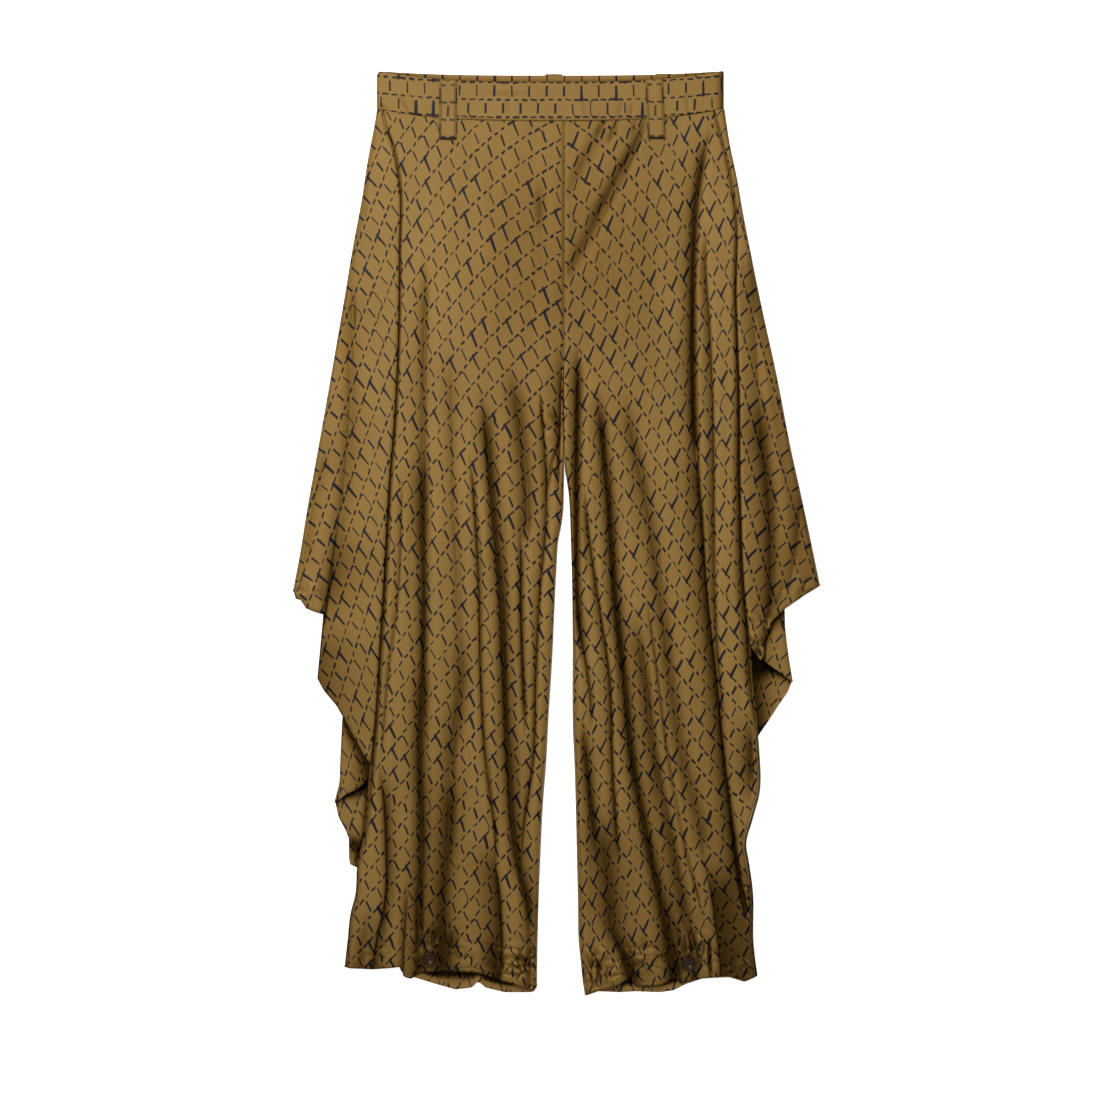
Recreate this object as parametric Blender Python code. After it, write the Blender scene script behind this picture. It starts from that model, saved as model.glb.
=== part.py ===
"""Palazzo pants with a draped godet in each side seam, laid flat on their back with the front up.

Every piece of cloth is a thin closed wall. A piece is drawn on the flat garment with two measures in
millimetres: down, from the upper edge of the waistband, and out, from the centre front seam. Layers of
cloth that lie on each other are one LEVEL apart. Left is the side of negative X.
"""
import math

import bmesh
import bpy
import numpy as np
from mathutils import Vector
from mathutils.bvhtree import BVHTree

MM = 0.001

# Sizes of the garment, mm
LENGTH = 993.0
SEAM_X = 8.6            # centre front seam, from the middle of the overall width
WAIST_LEFT = 200.6      # centre front seam to each end of the waistband
WAIST_RIGHT = 171.0
BAND_HEIGHT = 40.0
BAND_PLY = 1.8          # thickness of the folded waistband
BAND_INSET = 6.0        # how much shorter the back band is at each end
FRONT_SAG = 12.3        # how far the middle of the front band lies below its ends
BACK_SAG = 4.8
BAND_ARCH = 1.6         # how far the middle of the front band rises
CLOTH = 1.1
GAP = 0.3
LEVEL = CLOTH + GAP
EDGE_ROUND = 9.0        # radius of the rounded long edges of a leg
DRAPE_ROUND = 5.0       # and of a drape's edge
BAND_ROUND = 4.0        # and of the ends of the front band
LOOP_WIDTH = 18.0
LOOP_LENGTH = 63.0
BUTTON_RADIUS = 7.5
BUTTON_THICK = 3.0
BUTTON_PAD = 6.0        # height of the cloth under a button
PAD_MARGIN = 5.0        # how far that cloth reaches past the button

# How the layers pass over each other, mm
LOOPS_END = 72.0        # down: lower end of the belt loops behind the waist
LOOPS_EASE = 120.0      # length over which the cloth comes down from them to the surface
CROTCH = 400.0          # down: where the inside legs begin to part
CROTCH_EASE = 50.0
FOLD_CLEAR = 2.0        # the front leg comes to rest this far inside the drape's fold
LEG_LIP = 1.6           # leg cloth past that rest, and then what is tucked under the drape
TUCK = 8.0
TUCK_ROOM = (6.0, 36.0)         # widths of drape at which the tuck starts and is whole
TUCK_END = (520.0, 580.0)       # down: where the tuck dies away
BACK_CLEAR = 2.6        # the back leg ends this far inside the drape's fold
FOLD_RETURN = 0.7       # a drape's lower layer stops this far outside its upper one
FALL = (0.66, 0.94)     # shares of a drape's width over which it falls from the leg to its outer fold
DRAPE_NARROW = 14.0     # a drape narrower than this is flatter

SIGN = {"left": -1, "right": 1}

# Long lines of each side as rows of (down, out)
INSEAM = {
    "left": [(45, 0), (252, 0), (400, 0), (450, 0.5), (471, 1), (487, 3), (503, 6.2), (535, 8.4), (584, 10.8),
             (632, 13), (696, 17), (745, 19.6), (777, 22.2), (842, 25.6), (906, 28), (971, 29.2),
             (986, 29.2)],
    "right": [(45, 0), (252, 0), (400, 0.2), (425, 1), (438, 3), (454, 5.2), (471, 6.4), (503, 7.5),
              (535, 8.5), (600, 9.4), (713, 10), (745, 11.5), (793, 12.9), (842, 14), (890, 15.1),
              (938, 16.2), (955, 18), (975, 20), (994, 23)],
}
# Fold of the drape over the leg, then the free outer edge of the leg
DRAPE_FOLD = {
    "left": [(40, 197), (54, 194), (80, 184), (115, 177), (195, 176), (282, 177), (373, 182), (439, 188),
             (559, 195), (620, 200), (703, 205), (745, 209), (789, 212), (821, 215), (850, 222), (887, 225),
             (902, 229), (936, 233), (962, 236)],
    "right": [(40, 162), (60, 168), (95, 177), (146, 186), (245, 187), (336, 190), (460, 191), (556, 194),
              (604, 199), (655, 203), (705, 208), (730, 210), (777, 210), (803, 203), (831, 196), (850, 199),
              (880, 203), (939, 204), (972, 208)],
}
# Outer fold of the drape's upper layers
OUTER_FOLD = {
    "left": [(40, 201), (58, 204), (95, 211), (137, 217.5), (185, 226.5), (245, 236.5), (309, 247.5),
             (358, 256), (406, 264.6), (471, 276.3), (519, 284), (556, 291), (750, 318)],
    "right": [(40, 172.5), (76, 178), (119, 187), (148, 192), (185, 199), (245, 211), (328, 229),
              (408, 244.5), (460, 256), (551, 275), (650, 296)],
}
# Valley between the drape's fold over the leg and its outer flap: rows of (down, share of the width)
FLAP_LINE = {
    "left": [(45, 0.7), (100, 0.83), (191, 0.855), (285, 0.75), (374, 0.634), (460, 0.58), (529, 0.597),
             (574, 0.613), (597, 0.609), (650, 0.622), (750, 0.66)],
    "right": [(45, 0.64), (750, 0.64)],
}
FLAP_COLUMN = 0.64      # share of a drape's columns that lie inside that line
# Outer fold of the drape's lower layers
LOWER_FOLD = {
    "left": [(555, 226), (640, 234), (703, 239), (745, 241), (765, 242), (781, 246), (850, 254)],
    "right": [(555, 234), (574, 237), (597, 238), (630, 242), (655, 246), (712, 256)],
}
LOWER_START = 560.0     # down: first row of the lower layers, under the upper ones
# How far the back leg hides under the front one, rows of (down, inset)
BACK_INSET = {
    "left": [(45, 0), (990, 0)],
    "right": [(45, 0), (544, 0), (584, 6), (740, 6), (780, 0), (990, 0)],
}

# Hems as rows of (share, down): share 0 is the piece's inner edge, 1 its outer edge
LEG_FRONT_HEM = {
    "left": [(0.0, 982), (0.03, 987), (0.13, 978), (0.21, 974), (0.31, 967), (0.4, 966), (0.5, 966),
             (0.6, 974), (0.66, 973), (0.71, 966), (0.72, 961), (0.86, 964), (1.0, 962)],
    "right": [(0.0, 992), (0.06, 987), (0.2, 986), (0.35, 982), (0.5, 980), (0.6, 977), (0.7, 973),
              (0.85, 971), (0.94, 976), (1.0, 972)],
}
LEG_BACK_HEM = {
    "left": [(0.0, 984), (0.02, 989), (0.17, 989), (0.27, 984), (0.31, 977), (0.34, 984), (0.43, 986),
             (0.55, 979), (0.66, 972), (0.72, 960), (1.0, 961)],
    "right": [(0.0, 993), (0.08, 988), (0.2, 989), (0.3, 988), (0.44, 989), (0.52, 987), (0.6, 980),
              (0.7, 974), (0.85, 973), (0.94, 978), (1.0, 973)],
}
UPPER_HEM = {
    "left": [(0.0, 745), (0.15, 719), (0.3, 695), (0.4, 680), (0.55, 664), (0.63, 652), (0.65, 583),
             (0.745, 580), (0.84, 576), (0.91, 567), (0.96, 566), (1.0, 558)],
    "right": [(0.0, 604), (0.09, 611), (0.17, 609), (0.31, 589), (0.49, 576), (0.77, 562), (1.0, 552)],
}
LOWER_TOP_HEM = {
    "left": [(0.0, 752), (0.07, 762), (0.36, 770), (0.71, 776), (1.0, 785)],
    "right": [(0.0, 618), (0.18, 627), (0.37, 634), (0.76, 646), (1.0, 655)],
}
LOWER_BASE_HEM = {
    "left": [(0.0, 855), (0.3, 851), (0.38, 838), (0.46, 824), (0.62, 813), (0.85, 800), (1.0, 785)],
    "right": [(0.0, 714), (0.17, 704), (0.57, 681), (0.88, 665), (1.0, 655)],
}

# Troughs between the folds of the legs: (depth share, half width mm, rows of (down, out))
LEG_TROUGHS = {
    "left": [
        (0.55, 6.0, [(331, 165), (503, 173), (632, 186), (762, 193), (848, 190), (934, 200), (990, 203)]),
        (0.8, 8.0, [(202, 146), (396, 150), (525, 151), (783, 153), (934, 155), (990, 156)]),
        (0.7, 5.0, [(860, 171), (934, 171), (990, 172)]),
        (0.75, 9.0, [(45, 156), (116, 136), (181, 129), (288, 120), (396, 116), (525, 112), (654, 111),
                     (805, 123), (934, 131), (990, 122)]),
        (0.85, 8.0, [(250, 95), (331, 87), (417, 82), (503, 73), (589, 66), (762, 57), (848, 49), (944, 38),
                     (990, 36)]),
        (0.75, 7.0, [(503, 94), (589, 89), (697, 86), (783, 79), (858, 69), (934, 71), (990, 84)]),
        (0.7, 6.0, [(310, 48), (374, 45), (460, 39), (536, 31), (589, 29), (697, 32)]),
        (0.7, 5.0, [(353, 25), (428, 17), (470, 16)]),
        (0.4, 8.0, [(110, 33), (190, 24)]),
    ],
    "right": [
        (0.7, 5.0, [(321, 19), (396, 15), (503, 15), (611, 16), (675, 18), (762, 25), (848, 38), (901, 45),
                    (940, 60)]),
        (0.65, 6.0, [(482, 20), (589, 39), (675, 48), (762, 54), (891, 58), (990, 69)]),
        (0.85, 8.0, [(321, 38), (407, 43), (493, 51), (579, 57), (643, 62), (719, 71), (805, 85), (891, 103),
                     (990, 120)]),
        (0.75, 8.0, [(300, 64), (396, 75), (482, 89), (557, 102), (632, 114), (719, 124), (805, 144),
                     (891, 161), (990, 184)]),
        (0.7, 7.0, [(589, 82), (675, 88), (762, 102), (848, 118), (917, 131), (990, 134)]),
        (0.95, 8.0, [(63, 157), (116, 144), (159, 141), (245, 137), (307, 137), (374, 139), (460, 146),
                     (546, 152), (627, 160), (719, 170), (805, 180), (880, 187), (940, 195)]),
        (0.3, 4.0, [(112, 150), (181, 153), (307, 158), (480, 163)]),
        (0.75, 9.0, [(45, 94), (90, 68), (139, 45), (184, 25), (235, 6)]),
        (0.5, 8.0, [(45, 48), (79, 28), (111, 12), (143, 6)]),
        (0.35, 9.0, [(116, 128), (181, 117), (300, 110)]),
        (0.6, 4.5, [(915, 87), (950, 92), (990, 95)]),
        (0.5, 4.0, [(925, 33), (951, 34), (990, 37)]),
    ],
}
DRAPE_TROUGHS = {
    "left": [
        (0.85, 12.0, [(100, 205), (191, 219), (285, 226), (374, 230), (460, 238), (529, 248), (597, 258)]),
        (0.45, 7.0, [(396, 252), (460, 265), (560, 284)]),
    ],
    "right": [
        (0.9, 8.0, [(150, 198), (213, 202), (288, 207), (374, 213), (460, 220), (525, 222), (600, 220)]),
        (0.5, 9.0, [(440, 256), (503, 251), (580, 238)]),
    ],
}
FOLD_FADE = 60.0        # length over which a fold grows from its first depth and dies away
FIRST_DEPTH = 0.2       # share of that growth that a fold starts with
OPEN_END = 960.0        # down: a fold that ends below this runs out through the hem

# Height of the cloth over its resting level between the folds, rows of (down, height)
LEG_PUFF = [(40, 0.9), (120, 1.6), (250, 3.0), (400, 4.8), (550, 6.0), (800, 6.6), (990, 6.2)]
DRAPE_PUFF = [(40, 0.4), (120, 2.0), (250, 3.6), (450, 5.0), (600, 5.2), (750, 3.0)]

# Small parts: centre or upper end in (signed distance from the centre front seam, down)
BUTTONS = {"left": (-144.7, 953.0), "right": (133.4, 958.0)}
FRONT_LOOPS = {"left": (-124.5, 10.5), "right": (96.5, 9.7)}
BACK_LOOPS = {"left": (-130.0, 2.0), "centre": (-11.0, 2.7), "right": (108.0, 2.2)}
LOOP_LEAN = {"left": 0.0, "right": 3.0}     # how far a front loop's lower end lies to the right
LOOP_FALL = 14.0        # length over which a front loop comes down from the band to the leg
# Turned button as rows of (radius, share of its thickness), from the middle of its face round to its back
BUTTON_PROFILE = [(0.0, 0.62), (2.0, 0.62), (2.6, 0.95), (3.6, 0.7), (5.0, 0.7), (6.2, 1.0), (7.2, 0.8),
                  (BUTTON_RADIUS, 0.4), (6.8, 0.0), (0.0, 0.0)]
BUTTON_SIDES = 20

# Colour, roughness and metallic value of each kind of surface
SATIN = ((0.33, 0.19, 0.045, 1.0), 0.42, 0.0)
HORN = ((0.035, 0.018, 0.01, 1.0), 0.2, 0.0)


def ease(t):
    """Smooth step from 0 to 1 as t goes from 0 to 1."""
    t = np.clip(t, 0.0, 1.0)
    return t * t * (3.0 - 2.0 * t)


def between(ends, value):
    """Smooth step from 0 to 1 as a value goes from the first end to the second."""
    return ease((value - ends[0]) / (ends[1] - ends[0]))


def along(rows, place):
    """Value of a smooth curve through rows of (place, value)."""
    at, value = np.array(rows, float).T
    slope = np.gradient(value, at)
    place = np.clip(place, at[0], at[-1])
    i = np.clip(np.searchsorted(at, place, side="right") - 1, 0, len(at) - 2)
    span = at[i + 1] - at[i]
    t = (place - at[i]) / span
    return ((1 + 2 * t) * (1 - t) ** 2 * value[i] + t * (1 - t) ** 2 * span * slope[i]
            + t * t * (3 - 2 * t) * value[i + 1] - t * t * (1 - t) * span * slope[i + 1])


def straight(rows, place):
    """Value of the straight runs through rows of (place, value)."""
    at, value = np.array(rows, float).T
    return np.interp(place, at, value)


def rounded(distance, radius):
    """Height share of a rounded edge at some distance inside it."""
    inside = np.clip(distance / radius, 0.0, 1.0)
    return np.sqrt(1.0 - (1.0 - inside) ** 2)


def shares(count, crowding=0.6):
    """Even shares from 0 to 1, crowded towards both ends."""
    t = np.linspace(0.0, 1.0, count + 1)
    return (1 - crowding) * t + crowding * (1 - np.cos(math.pi * t)) / 2


def waist_share(across):
    """Place along the waistband: 0 in its middle, -1 and 1 at its ends."""
    return (across + (WAIST_LEFT - WAIST_RIGHT) / 2) / ((WAIST_LEFT + WAIST_RIGHT) / 2)


def front_band_top(across):
    return FRONT_SAG * (1.0 - np.abs(waist_share(across)) ** 3)


def back_band_top(across):
    return BACK_SAG * (1.0 - waist_share(across) ** 2)


def band_arch(across):
    return BAND_ARCH * (1.0 - waist_share(across) ** 2)


def waist_lift(down):
    """The belt loops behind the waist hold the cloth one level off the surface."""
    return LEVEL * (1.0 - ease((down - LOOPS_END) / LOOPS_EASE))


def left_between(troughs, out, down):
    """Share of the height that is left between the troughs."""
    left = np.ones_like(out)
    for depth, half_width, rows in troughs:
        start, end = rows[0][0], rows[-1][0]
        grown = ease((down - start) / FOLD_FADE + FIRST_DEPTH)
        if end < OPEN_END:
            grown = grown * ease((end - down) / FOLD_FADE + FIRST_DEPTH)
        offset = np.abs(out - along(rows, down)) / half_width
        left = left * (1.0 - depth * grown * np.exp(-offset ** 1.6))
    return left


def leg_inner(side, down):
    """Inner edge of a leg: the centre front or back seam, then the inside leg."""
    return np.maximum(along(INSEAM[side], down), 0.0) + GAP / 2


def leg_rest(side, down):
    """Where the front leg comes to rest, just inside the drape's fold."""
    return along(DRAPE_FOLD[side], down) - FOLD_CLEAR


def leg_outer(side, down):
    """Outer edge of the front leg, tucked under the drape as far as the drape reaches."""
    room = along(OUTER_FOLD[side], down) - along(DRAPE_FOLD[side], down)
    tucked = between(TUCK_ROOM, room) * (1.0 - between(TUCK_END, down))
    return leg_rest(side, down) + LEG_LIP + TUCK * tucked


def leg_height(side, out, down):
    """Middle of the front leg's cloth above the surface."""
    free = ease((down - CROTCH) / CROTCH_EASE)
    edges = 1.0 - free * (1.0 - rounded(out - leg_inner(side, down), EDGE_ROUND))
    edges = edges * rounded(leg_rest(side, down) - out, EDGE_ROUND)
    puff = along(LEG_PUFF, down) * edges * left_between(LEG_TROUGHS[side], out, down)
    height = LEVEL + CLOTH / 2 + waist_lift(down) + puff
    across, button_down = BUTTONS[side]
    near = np.hypot(out * SIGN[side] - across, down - button_down) / (BUTTON_RADIUS + PAD_MARGIN)
    return height + (BUTTON_PAD - height) * np.exp(-near ** 6)


def drape_height(side, share, out, down):
    """Middle of the drape's upper layer above the surface."""
    inner, outer = along(DRAPE_FOLD[side], down), along(OUTER_FOLD[side], down)
    level = LEVEL * (2.0 - between(FALL, share))
    edges = rounded(out - inner, DRAPE_ROUND) * rounded(outer - out, DRAPE_ROUND)
    puff = along(DRAPE_PUFF, down) * edges * left_between(DRAPE_TROUGHS[side], out, down)
    return level + CLOTH / 2 + waist_lift(down) + puff * ease((outer - inner) / DRAPE_NARROW)


def place(side, out, down, height):
    """A point of the garment in metres."""
    x = SEAM_X + SIGN[side] * out
    y = LENGTH / 2 - down
    return np.stack([x, y + 0 * x, height + 0 * x], axis=-1) * MM


def finish(name, surface):
    """Material of one kind of surface."""
    colour, roughness, metallic = surface
    material = bpy.data.materials.new(name)
    material.use_nodes = True
    shader = material.node_tree.nodes["Principled BSDF"]
    shader.inputs["Base Color"].default_value = colour
    shader.inputs["Roughness"].default_value = roughness
    shader.inputs["Metallic"].default_value = metallic
    return material


def add_object(name, verts, faces, material):
    """Named object of one closed body."""
    mesh = bpy.data.meshes.new(name)
    mesh.from_pydata([tuple(v) for v in verts], [], faces)
    solid = bmesh.new()
    solid.from_mesh(mesh)
    bmesh.ops.recalc_face_normals(solid, faces=solid.faces)
    solid.to_mesh(mesh)
    solid.free()
    mesh.shade_smooth()
    mesh.set_sharp_from_angle(angle=math.radians(40))
    mesh.materials.append(material)
    part = bpy.data.objects.new(name, mesh)
    bpy.context.scene.collection.objects.link(part)
    return part


def wall(name, middle, thickness, material):
    """Closed wall around the surface through a grid of points, rows by columns."""
    normal = np.cross(np.gradient(middle, axis=0), np.gradient(middle, axis=1))
    normal /= np.linalg.norm(normal, axis=2, keepdims=True)
    half = normal * thickness * MM / 2
    rows, columns = middle.shape[:2]
    verts = np.concatenate([(middle + half).reshape(-1, 3), (middle - half).reshape(-1, 3)])
    second = rows * columns
    faces = []
    for r in range(rows - 1):
        for c in range(columns - 1):
            a, b = r * columns + c, r * columns + c + 1
            d, e = a + columns, b + columns
            faces += [(a, b, e), (a, e, d)]
            faces += [(second + a, second + e, second + b), (second + a, second + d, second + e)]
    rim = [(0, c) for c in range(columns)] + [(r, columns - 1) for r in range(1, rows)]
    rim += [(rows - 1, c) for c in range(columns - 2, -1, -1)] + [(r, 0) for r in range(rows - 2, 0, -1)]
    ring = [r * columns + c for r, c in rim]
    for a, b in zip(ring, ring[1:] + ring[:1]):
        faces += [(a, second + b, b), (a, second + a, second + b)]
    return add_object(name, verts, faces, material)


def settle(start_at, hem_down, out_at, share, step):
    """Out and down of a grid whose columns run from a curved upper edge to the hem."""
    down = hem_down * step
    for _ in range(4):
        start = start_at(out_at(share, down))
        down = start + step * (hem_down - start)
    return out_at(share, down), down


def leg_front(side):
    """Front leg: a field of long folds between the inside seam and the drape's fold."""
    def out_at(share, down):
        inner = leg_inner(side, down)
        rest = leg_rest(side, down)
        tuck = leg_outer(side, down) - rest
        return np.where(share <= 1.0, inner + share * (rest - inner), rest + (share - 1.0) * tuck)

    def start_at(out):
        return front_band_top(SIGN[side] * out) + BAND_HEIGHT + GAP

    tucked = [1.5, 2.0]
    last_rows = [0.972, 0.98, 0.988, 1.0]
    share, step = np.meshgrid(np.append(shares(31), tucked),
                              np.append(np.linspace(0.0, 0.962, 26), last_rows))
    out, down = settle(start_at, straight(LEG_FRONT_HEM[side], share), out_at, share, step)
    wall(f"leg_front_{side}", place(side, out, down, leg_height(side, out, down)), CLOTH,
         finish("bias satin", SATIN))


def leg_back(side):
    """Back leg: it lies flat on the surface under the front leg."""
    def out_at(share, down):
        inner = leg_inner(side, down)
        outer = along(DRAPE_FOLD[side], down) - BACK_CLEAR - straight(BACK_INSET[side], down)
        return inner + share * (outer - inner)

    def start_at(out):
        return back_band_top(SIGN[side] * out) + BAND_HEIGHT + GAP

    share, step = np.meshgrid(np.linspace(0.0, 1.0, 14), np.linspace(0.0, 1.0, 19))
    out, down = settle(start_at, straight(LEG_BACK_HEM[side], share), out_at, share, step)
    wall(f"leg_back_{side}", place(side, out, down, CLOTH / 2 + waist_lift(down)), CLOTH,
         finish("bias satin", SATIN))


def folded_drape(name, side, folds, flap_line, hems, rows, start_at, height):
    """Two layers of a drape, joined along their outer fold.

    The upper layer runs from its inner edge to the fold, the lower one lies on the surface and runs back.
    """
    top_share = np.unique(np.concatenate([shares(12, 0.7), [row[0] for row in hems[0]]]))
    base_share = np.linspace(1.0, 0.0, 5)
    hem_down = np.concatenate([straight(hems[0], top_share), straight(hems[1], base_share)])
    share, step = np.meshgrid(np.concatenate([top_share, base_share]), np.linspace(0.0, 1.0, rows + 1))
    upper = np.arange(share.shape[1]) < len(top_share)

    def out_at(share, down):
        inner = along(folds[0], down) - np.where(upper, 0.0, FOLD_RETURN)
        outer = along(folds[1], down) - LEVEL / 2 - CLOTH / 2
        flap = straight(flap_line, down)
        bent = np.where(share < FLAP_COLUMN, flap * share / FLAP_COLUMN,
                        1.0 - (1.0 - flap) * (1.0 - share) / (1.0 - FLAP_COLUMN))
        return inner + np.where(upper, bent, share) * (outer - inner)

    out, down = settle(start_at, hem_down[None, :] + 0 * share, out_at, share, step)
    middle = place(side, out, down, np.where(upper, height(share, out, down), CLOTH / 2 + waist_lift(down)))
    first, last = len(top_share) - 1, len(top_share)
    bends = []
    for angle in (45.0, 90.0, 135.0):
        turn = math.radians(angle)
        reach = np.array([SIGN[side] * math.sin(turn), 0.0, math.cos(turn)]) * LEVEL / 2 * MM
        bends.append((middle[:, first] + middle[:, last]) / 2 + reach)
    grid = np.concatenate([middle[:, :last], np.stack(bends, axis=1), middle[:, last:]], axis=1)
    wall(name, grid, CLOTH, finish("draped satin", SATIN))


def drape(side):
    """Godet let into the side seam: wide upper layers over narrower lower ones."""
    tip = UPPER_HEM[side][-1][1]
    folded_drape(f"drape_{side}_upper", side, (DRAPE_FOLD[side], OUTER_FOLD[side]), FLAP_LINE[side],
                 (UPPER_HEM[side], [(0.0, tip), (1.0, tip)]), 20,
                 lambda out: front_band_top(SIGN[side] * out) + BAND_HEIGHT + GAP,
                 lambda share, out, down: drape_height(side, share, out, down))
    beside_leg = [(down, leg_outer(side, np.float64(down)) + GAP + 0.2) for down, _ in DRAPE_FOLD[side]]
    folded_drape(f"drape_{side}_lower", side, (beside_leg, LOWER_FOLD[side]), FLAP_LINE["right"],
                 (LOWER_TOP_HEM[side], LOWER_BASE_HEM[side]), 10,
                 lambda out: LOWER_START + 0 * out,
                 lambda share, out, down: LEVEL + CLOTH / 2 + 0 * out)


def waistband():
    """Front band over back band. The ends of the front band turn down to the side seams."""
    low = LEVEL + BAND_PLY / 2
    across, step = np.meshgrid(-WAIST_LEFT + shares(30, 0.8) * (WAIST_LEFT + WAIST_RIGHT),
                               np.linspace(0.0, 1.0, 4))
    ends = np.minimum(across + WAIST_LEFT, WAIST_RIGHT - across)
    height = low + (BAND_PLY + GAP + band_arch(across)) * rounded(ends, BAND_ROUND)
    wall("waistband_front", place("right", across, front_band_top(across) + step * BAND_HEIGHT, height),
         BAND_PLY, finish("straight-grain satin", SATIN))

    across, step = np.meshgrid(np.linspace(-WAIST_LEFT + BAND_INSET, WAIST_RIGHT - BAND_INSET, 21),
                               np.linspace(0.0, 1.0, 4))
    wall("waistband_back", place("right", across, back_band_top(across) + step * BAND_HEIGHT, low),
         BAND_PLY, finish("straight-grain satin", SATIN))


def belt_loops():
    """Two loops over the front band and three under the back band."""
    edge, step = np.meshgrid([-0.5, 0.5], np.linspace(0.0, 1.0, 13))
    for side, (across, start) in FRONT_LOOPS.items():
        x = across + LOOP_WIDTH * edge + LOOP_LEAN[side] * step
        down = start + LOOP_LENGTH * step
        on_band = LEVEL + BAND_PLY * 2 + GAP + band_arch(across)
        on_leg = np.max(leg_height(side, np.abs(x), down[-1:] + 0 * x)) + CLOTH / 2
        height = on_band + (on_leg - on_band) * ease((down - start - BAND_HEIGHT - 1.0) / LOOP_FALL)
        wall(f"belt_loop_front_{side}", place("right", x, down, height + GAP + CLOTH / 2), CLOTH,
             finish("zigzagged satin", SATIN))
    for side, (across, start) in BACK_LOOPS.items():
        wall(f"belt_loop_back_{side}",
             place("right", across + LOOP_WIDTH * edge, start + LOOP_LENGTH * step, CLOTH / 2), CLOTH,
             finish("zigzagged satin", SATIN))


def hem_button(side):
    """Turned button with a rim and a ring round its middle, on the cloth's pad at the hem."""
    across, down = BUTTONS[side]
    centre = np.array([SEAM_X + across, LENGTH / 2 - down, 0.0])
    leg = bpy.data.objects[f"leg_front_{side}"].data
    cloth = BVHTree.FromPolygons([v.co for v in leg.vertices], [p.vertices for p in leg.polygons])
    for radius in np.linspace(0.0, BUTTON_RADIUS, 7):
        for turn in np.linspace(0.0, 2 * math.pi, 40):
            above = centre + [radius * math.cos(turn), radius * math.sin(turn), BUTTON_PAD * 3]
            hit = cloth.ray_cast(Vector(above * MM), Vector((0, 0, -1)))[0]
            centre[2] = max(centre[2], hit.z / MM + GAP)
    rings = BUTTON_PROFILE[1:-1]
    verts = [centre + [0, 0, BUTTON_PROFILE[0][1] * BUTTON_THICK]]
    for radius, rise in rings:
        for i in range(BUTTON_SIDES):
            turn = 2 * math.pi * i / BUTTON_SIDES
            verts.append(centre + [radius * math.cos(turn), radius * math.sin(turn), rise * BUTTON_THICK])
    verts.append(centre)
    last = 1 + (len(rings) - 1) * BUTTON_SIDES
    faces = []
    for i in range(BUTTON_SIDES):
        j = (i + 1) % BUTTON_SIDES
        faces.append((0, 1 + i, 1 + j))
        for k in range(len(rings) - 1):
            a, b = 1 + k * BUTTON_SIDES + i, 1 + k * BUTTON_SIDES + j
            faces += [(a, a + BUTTON_SIDES, b + BUTTON_SIDES), (a, b + BUTTON_SIDES, b)]
        faces.append((last + i, len(verts) - 1, last + j))
    add_object(f"hem_button_{side}", np.array(verts) * MM, faces, finish("polished horn", HORN))


for old in list(bpy.data.objects):
    bpy.data.objects.remove(old, do_unlink=True)
for each_side in SIGN:
    leg_front(each_side)
    leg_back(each_side)
    drape(each_side)
    hem_button(each_side)
waistband()
belt_loops()
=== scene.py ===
"""Satin palazzo pants with side drapes, laid flat: cloth, print, stitching and buttons.

Sizes in the tables are millimetres on the flat garment: down, from the upper edge of the waistband, and
out, from the centre front seam. Left is the side of negative X. The meshes are built in metres.
"""
import math

import bpy
import numpy as np
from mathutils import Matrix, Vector


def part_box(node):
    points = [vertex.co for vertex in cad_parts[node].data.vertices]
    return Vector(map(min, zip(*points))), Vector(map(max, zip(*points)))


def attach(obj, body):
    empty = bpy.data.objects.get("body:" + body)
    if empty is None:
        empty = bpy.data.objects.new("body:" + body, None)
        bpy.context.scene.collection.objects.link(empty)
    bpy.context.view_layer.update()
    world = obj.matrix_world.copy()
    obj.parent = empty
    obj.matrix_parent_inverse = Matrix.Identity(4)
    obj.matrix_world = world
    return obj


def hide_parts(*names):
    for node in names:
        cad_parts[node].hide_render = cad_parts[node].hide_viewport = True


bl_info = {
    "name": "Draped Palazzo Pants",
    "version": (1, 0, 0),
    "blender": (4, 5, 0),
    "location": "3D View > Sidebar > Pants",
    "description": "Makes satin palazzo pants with side drapes, laid flat",
    "category": "Add Mesh",
}

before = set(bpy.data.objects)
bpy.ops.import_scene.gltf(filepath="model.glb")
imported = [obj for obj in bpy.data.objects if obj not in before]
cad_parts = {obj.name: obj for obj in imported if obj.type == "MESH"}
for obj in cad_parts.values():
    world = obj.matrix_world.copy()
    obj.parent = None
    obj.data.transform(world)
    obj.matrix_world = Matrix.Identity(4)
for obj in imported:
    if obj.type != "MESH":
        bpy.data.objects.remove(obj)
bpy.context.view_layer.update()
MM = 0.001

# Sizes of the garment
LENGTH = 993.0
SEAM_X = 8.6            # centre front seam, from the middle of the overall width
WAIST_LEFT = 200.6      # centre front seam to each end of the waistband
WAIST_RIGHT = 171.0
CLOTH = 1.1             # room that each layer of cloth takes
GAP = 0.3
LEVEL = CLOTH + GAP
BAND_HEIGHT = 40.0
BAND_PLY = 1.8          # room that the folded waistband takes
BAND_THICK = 1.6
BAND_INSET = 6.0        # how much shorter the back band is at each end
FRONT_SAG = 12.3        # how far the middle of the front band lies below its ends
BACK_SAG = 4.8
BAND_ARCH = 1.6         # how much higher its middle stands
BAND_CORNER = 4.5       # radius of the front band's upper left corner
BAND_TURN = 11.0        # width of the front band's right end that turns away from the light, with painted shade
EDGE_ROUND = 9.0        # width in which the inside leg rounds down
DRAPE_ROUND = 3.6       # width in which the drape's inner fold does, and its outer one
OUTER_ROUND = 5.6
LOWER_ROUND = 6.0       # width in which the edges of the drape's lower layer do
BAND_ROUND = 4.0        # width in which the waistband's ends do
LOOP_WIDTH = 18.0
LOOP_LENGTH = 63.0
LOOP_THICK = 1.0
BUTTON_RADIUS = 7.5
BUTTON_PAD = 6.0        # height of the cloth under a button
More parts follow.
